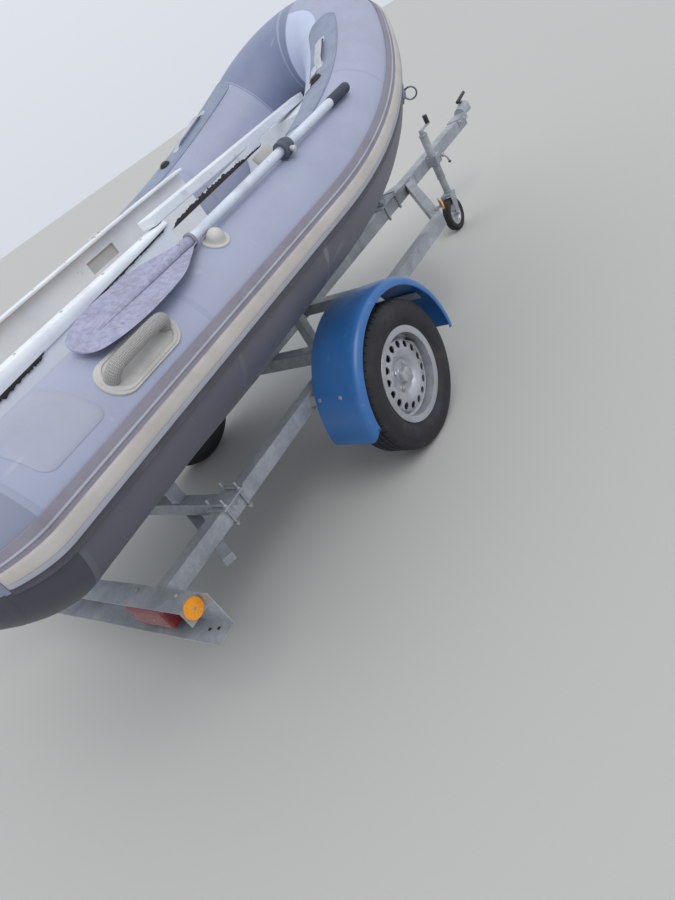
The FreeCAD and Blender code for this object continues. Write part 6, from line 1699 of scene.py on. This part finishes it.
def jockey_wheel():
    """Jockey tyre with its tread ribs and a pressed rim, both turned about the wheel's own axle."""
    centre = np.array(middle("jockey_tyre"))
    axis = np.array([0.0, 1.0, 0.0])
    tyre = Shell()
    half = [(0.0664, 0.0190), (0.0740, 0.0215), (0.0835, 0.0248), (0.0900, 0.0244), (0.0945, 0.0215), (0.0968, 0.0165),
            (0.0975, 0.0150), (0.0958, 0.0142), (0.0958, 0.0120), (0.0982, 0.0112), (0.0992, 0.0040), (0.0972, 0.0034),
            (0.0972, 0.0)]
    full = half + [(r, -y) for r, y in half[::-1][1:]]
    turned(tyre, full, centre, axis, 80, close_v=True)
    tyre.make("jockey_tyre_skin", "tyre_rubber", "tyre_rubber", "jockey_tyre", 30, "jockey_wheel")
    rim = Shell()
    side = [(0.0062, 0.0268), (0.0150, 0.0268), (0.0168, 0.0252), (0.0170, 0.0080), (0.0190, 0.0062), (0.0520, 0.0042),
            (0.0560, 0.0080), (0.0590, 0.0150), (0.0612, 0.0166), (0.0658, 0.0168)]
    full = side + [(r, -y) for r, y in side[::-1]]
    turned(rim, full, centre, axis, 64, close_v=True)
    rim.make("jockey_rim_skin", "rim_silver", "rim_silver", "jockey_rim", 30, "jockey_wheel")


def jockey_and_coupling_trim():
    """Crank grip, clamp lever and axle nuts of the jockey wheel, and the coupling's pivot."""
    top = Shell()
    crank_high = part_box("jockey_crank")[1]
    tube = middle("jockey_tube")
    grip = [(0, 0.0), (0.0132, 0.0), (0.0142, 0.002)]
    for start in np.arange(0.006, 0.040, 0.006):
        grip += [(0.0144, start), (0.0136, start + 0.001), (0.0136, start + 0.002), (0.0144, start + 0.003)]
    grip += [(0.0142, 0.0455), (0.0120, 0.0492), (0.0060, 0.0500), (0, 0.0502)]
    turned(top, grip, (crank_high.x - 0.0135, tube.y, crank_high.z - 0.0500), (0, 0, 1), 28)
    ring = [(0.0236, -0.004), (0.0258, -0.004), (0.0262, -0.002), (0.0262, 0.004), (0.0252, 0.006), (0.0236, 0.006)]
    low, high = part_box("jockey_tube")
    for z in (low.z + 0.006, high.z - 0.010):
        turned(top, ring, (tube.x, tube.y, z), (0, 0, 1), 36, mark=1, close_v=True)
    top.make("jockey_crank_grip", "black_plastic galvanised", "galvanised", sharp=30)

    clamp = Shell()
    block_low, block_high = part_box("jockey_clamp")
    spot = np.array([tube.x + 0.030, block_low.y + 0.004, (block_low.z + block_high.z) / 2])
    turned(clamp, [(0, 0.0), (0.0110, 0.0), (0.0120, 0.002), (0.0120, 0.011), (0.0100, 0.013), (0, 0.013)], spot,
           (0, -1, 0), 24)
    lever = smooth_path([spot + [0, -0.008, 0.0], spot + [0.012, -0.0105, -0.012], spot + [0.030, -0.011, -0.034],
                         spot + [0.040, -0.010, -0.060]], 20)
    pipe(clamp, lever, 0.0052, 12, (0, 1, 0))
    arc = np.linspace(0.3, 2.85, 9)
    ball = [(0, -0.0088)] + [(0.0088 * math.sin(t), -0.0088 * math.cos(t)) for t in arc] + [(0, 0.0088)]
    turned(clamp, ball, lever[-1], (0.3, 0, -1), 16, mark=1)
    clamp.make("jockey_clamp_lever", "zinc_bolt black_plastic", "galvanised", sharp=30)

    nuts = Shell()
    centre = np.array(middle("jockey_tyre"))
    for side in SIDES:
        bolt(nuts, centre + [0, side * 0.0352, 0], (0, side, 0), 0.0095)
    nuts.make("jockey_axle_nuts", "zinc_bolt", "galvanised", sharp=30, body="jockey_caster")

    head = Shell()
    low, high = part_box("coupling_lever")
    pivot = np.array([(low.x + high.x) / 2 - 0.035, 0, low.z + 0.010])
    for side in SIDES:
        bolt(head, pivot + [0, side * 0.0082, 0], (0, side, 0), 0.0050)
    head.make("coupling_pivot", "zinc_bolt", "galvanised", sharp=30)


def picked(value):
    """8-bit display colour of a settings colour."""
    return tuple(channel * 255 for channel in value)


def colour_setting(name, label, key):
    """Colour property whose default is one of the display colours."""
    return FloatVectorProperty(name=name, description=label, subtype="COLOR_GAMMA", size=3, min=0, max=1,
                               default=tuple(channel / 255 for channel in DISPLAY[key]))


class BoatColours(bpy.types.PropertyGroup):
    """Colours of the boat."""
    tube: colour_setting("Tubes", "Upper fabric of the tubes", "tube")
    tube_under: colour_setting("Tubes Below", "Fabric under the rub strake, darkened as painted shade", "tube_under")
    cone: colour_setting("Cones", "Upper fabric of the stern cones, partly painted shade", "cone")
    cone_under: colour_setting("Cones Below", "Lower fabric of the stern cones, painted shade", "cone_under")
    bow_inner: colour_setting("Bow Inside", "Inner panel of the bow, partly painted shade", "bow_inner")
    bow_light: colour_setting("Bow Light Panel", "Pale inner panel of the starboard bow, partly painted sky light", "bow_light")
    strake: colour_setting("Strake Insert", "Pale middle band of the rub strake", "strake")
    gelcoat: colour_setting("Gelcoat", "Hull, coamings and boards", "gelcoat")
    floor: colour_setting("Floor", "Cockpit floor", "floor")
    blade: colour_setting("Oar Blade", "Weathered blade of the oar", "blade")


class TrailerColours(bpy.types.PropertyGroup):
    """Colours of the trailer."""
    zinc: colour_setting("Zinc", "Galvanised frame", "zinc")
    guard: colour_setting("Mudguards", "Paint of the mudguards", "guard")
    lamp: colour_setting("Lamps", "Tail lamp lenses", "lamp")
    reflector: colour_setting("Reflectors", "Side and front reflectors", "reflector")
    rim: colour_setting("Rims", "Painted wheel rims", "rim")
    tyre: colour_setting("Tyres", "Tyre rubber", "tyre")


class FormSizes(bpy.types.PropertyGroup):
    """Sizes of the finished pieces."""
    tube_columns: IntProperty(name="Tube Columns", description="Faces around a tube", default=96, min=48, max=160)
    seam_width: FloatProperty(name="Seam Width", description="Breadth of the glued tapes", default=0.018,
                              min=0.008, max=0.04, unit="LENGTH")
    edge_scale: FloatProperty(name="Broken Edges", description="Factor on the breadth of every broken edge",
                              default=1.0, min=0.2, max=2.0)
    tread_pitches: IntProperty(name="Tread Pitches", description="Tread blocks round a tyre", default=58, min=40,
                               max=80)
    groove_depth: FloatProperty(name="Groove Depth", description="Depth of the tread grooves", default=0.0062,
                                min=0.002, max=0.008, unit="LENGTH")
    peel_width: FloatProperty(name="Peeled Paint", description="Breadth of bare wood on the loose board",
                              default=0.020, min=0.002, max=0.03, unit="LENGTH")


class StageSettings(bpy.types.PropertyGroup):
    """Floor and light."""
    floor: FloatVectorProperty(name="Floor", description="Colour of the floor", subtype="COLOR", size=3, min=0,
                               max=1, default=(0.47, 0.47, 0.46))
    sky: FloatProperty(name="Sky", description="Strength of the even sky light", default=1.0, min=0, max=4)
    sun: FloatProperty(name="Sun", description="Strength of the soft sun", default=1.0, min=0, max=8)


class Piece:
    """Options and the look-up of the sizes that the operators share."""
    bl_options = {"REGISTER", "UNDO"}

    def sizes(self, context):
        """Sizes chosen in the panel."""
        return context.scene.boat_sizes


class OBJECT_OT_boat_stage(Piece, bpy.types.Operator):
    """Floor, sky, sun and the camera"""
    bl_idname = "object.boat_stage"
    bl_label = "Stage"

    def execute(self, context):
        given = context.scene.boat_stage
        stage(tuple(given.floor), given.sky, given.sun)
        return {"FINISHED"}


class OBJECT_OT_boat_finishes(Piece, bpy.types.Operator):
    """Materials from the chosen colours, laid on the CAD pieces that stay in view"""
    bl_idname = "object.boat_finishes"
    bl_label = "Finishes"

    def execute(self, context):
        for settings in (context.scene.boat_colours, context.scene.trailer_colours):
            for key in settings.bl_rna.properties.keys():
                if key in DISPLAY:
                    DISPLAY[key] = picked(getattr(settings, key))
        FINISH.update(materials())
        kept_nodes(self.sizes(context).edge_scale)
        return {"FINISHED"}


class OBJECT_OT_boat_tubes(Piece, bpy.types.Operator):
    """Inflated tubes with their seams and the bare patches"""
    bl_idname = "object.boat_tubes"
    bl_label = "Tubes"

    def execute(self, context):
        sizes = self.sizes(context)
        tube_skins(sizes.tube_columns)
        seams_and_patches(sizes.seam_width)
        return {"FINISHED"}


class OBJECT_OT_boat_strake(Piece, bpy.types.Operator):
    """Banded rub strake"""
    bl_idname = "object.boat_strake"
    bl_label = "Rub Strake"

    def execute(self, context):
        rub_strake()
        return {"FINISHED"}


class OBJECT_OT_boat_handles(Piece, bpy.types.Operator):
    """Lifting handles on the quarters"""
    bl_idname = "object.boat_handles"
    bl_label = "Lifting Handles"

    def execute(self, context):
        lifting_handles()
        return {"FINISHED"}


class OBJECT_OT_boat_fittings(Piece, bpy.types.Operator):
    """Oarlock pads and oar holders"""
    bl_idname = "object.boat_fittings"
    bl_label = "Oar Fittings"

    def execute(self, context):
        fittings()
        return {"FINISHED"}


class OBJECT_OT_boat_bow(Piece, bpy.types.Operator):
    """Grip patches, straps, valves and towing rings at the bow"""
    bl_idname = "object.boat_bow"
    bl_label = "Bow Gear"

    def execute(self, context):
        bow_gear()
        return {"FINISHED"}


class OBJECT_OT_boat_oar(Piece, bpy.types.Operator):
    """Stowed oar"""
    bl_idname = "object.boat_oar"
    bl_label = "Oar"

    def execute(self, context):
        oar()
        return {"FINISHED"}


class OBJECT_OT_boat_boards(Piece, bpy.types.Operator):
    """Lips of the board and coamings, the board's peeled edge, painted shadow under the coamings' lips, and screws"""
    bl_idname = "object.boat_boards"
    bl_label = "Board Wear"

    def execute(self, context):
        boards_wear(self.sizes(context).peel_width)
        return {"FINISHED"}


class OBJECT_OT_trailer_hardware(Piece, bpy.types.Operator):
    """Bolts and welds of the frame"""
    bl_idname = "object.trailer_hardware"
    bl_label = "Frame Hardware"

    def execute(self, context):
        trailer_hardware()
        return {"FINISHED"}


class OBJECT_OT_trailer_lights(Piece, bpy.types.Operator):
    """Tail lamps, reflectors and the light board's screws"""
    bl_idname = "object.trailer_lights"
    bl_label = "Lights"

    def execute(self, context):
        light_board_trim()
        rear_lights()
        reflectors()
        return {"FINISHED"}


class OBJECT_OT_trailer_wheels(Piece, bpy.types.Operator):
    """Road tyres with their tread, and the pressed rims"""
    bl_idname = "object.trailer_wheels"
    bl_label = "Road Wheels"

    def execute(self, context):
        sizes = self.sizes(context)
        for side, label in SIDE_NAMES:
            road_tyre(side, label, sizes.tread_pitches, sizes.groove_depth)
            road_rim(side, label)
        return {"FINISHED"}


class OBJECT_OT_trailer_guards(Piece, bpy.types.Operator):
    """Mudguards with rolled lips"""
    bl_idname = "object.trailer_guards"
    bl_label = "Mudguards"

    def execute(self, context):
        mudguards()
        return {"FINISHED"}


class OBJECT_OT_trailer_jockey(Piece, bpy.types.Operator):
    """Jockey wheel, and the trim of its crank, its clamp and the coupling"""
    bl_idname = "object.trailer_jockey"
    bl_label = "Jockey Wheel"

    def execute(self, context):
        jockey_wheel()
        jockey_and_coupling_trim()
        return {"FINISHED"}


STEPS = (OBJECT_OT_boat_stage, OBJECT_OT_boat_finishes, OBJECT_OT_boat_tubes, OBJECT_OT_boat_strake,
         OBJECT_OT_boat_handles, OBJECT_OT_boat_fittings, OBJECT_OT_boat_bow, OBJECT_OT_boat_oar,
         OBJECT_OT_boat_boards, OBJECT_OT_trailer_hardware, OBJECT_OT_trailer_lights, OBJECT_OT_trailer_wheels,
         OBJECT_OT_trailer_guards, OBJECT_OT_trailer_jockey)
GROUPS = (("boat_colours", BoatColours), ("trailer_colours", TrailerColours), ("boat_sizes", FormSizes),
          ("boat_stage", StageSettings))


class VIEW3D_PT_boat(bpy.types.Panel):
    """Settings and steps of the boat on its trailer"""
    bl_idname = "VIEW3D_PT_boat"
    bl_label = "Boat on Trailer"
    bl_space_type = "VIEW_3D"
    bl_region_type = "UI"
    bl_category = "Boat"

    def draw(self, context):
        for attribute, group_class in GROUPS:
            settings = getattr(context.scene, attribute)
            box = self.layout.box()
            box.label(text=group_class.__doc__)
            for key in group_class.__annotations__:
                box.prop(settings, key)
        column = self.layout.column(align=True)
        for step in STEPS:
            column.operator(step.bl_idname)


CLASSES = tuple(group_class for _, group_class in GROUPS) + STEPS + (VIEW3D_PT_boat,)


def register():
    """Registers the classes and hangs the settings on the scene."""
    for item in CLASSES:
        bpy.utils.register_class(item)
    for attribute, group_class in GROUPS:
        setattr(bpy.types.Scene, attribute, PointerProperty(type=group_class))


def unregister():
    """Takes the settings and the classes away again."""
    for attribute, _ in GROUPS:
        delattr(bpy.types.Scene, attribute)
    for item in reversed(CLASSES):
        bpy.utils.unregister_class(item)


def main():
    """Registers the add-on and runs every step in order."""
    register()
    for step in STEPS:
        area, name = step.bl_idname.split(".")
        getattr(getattr(bpy.ops, area), name)()


if __name__ == "__main__":
    main()
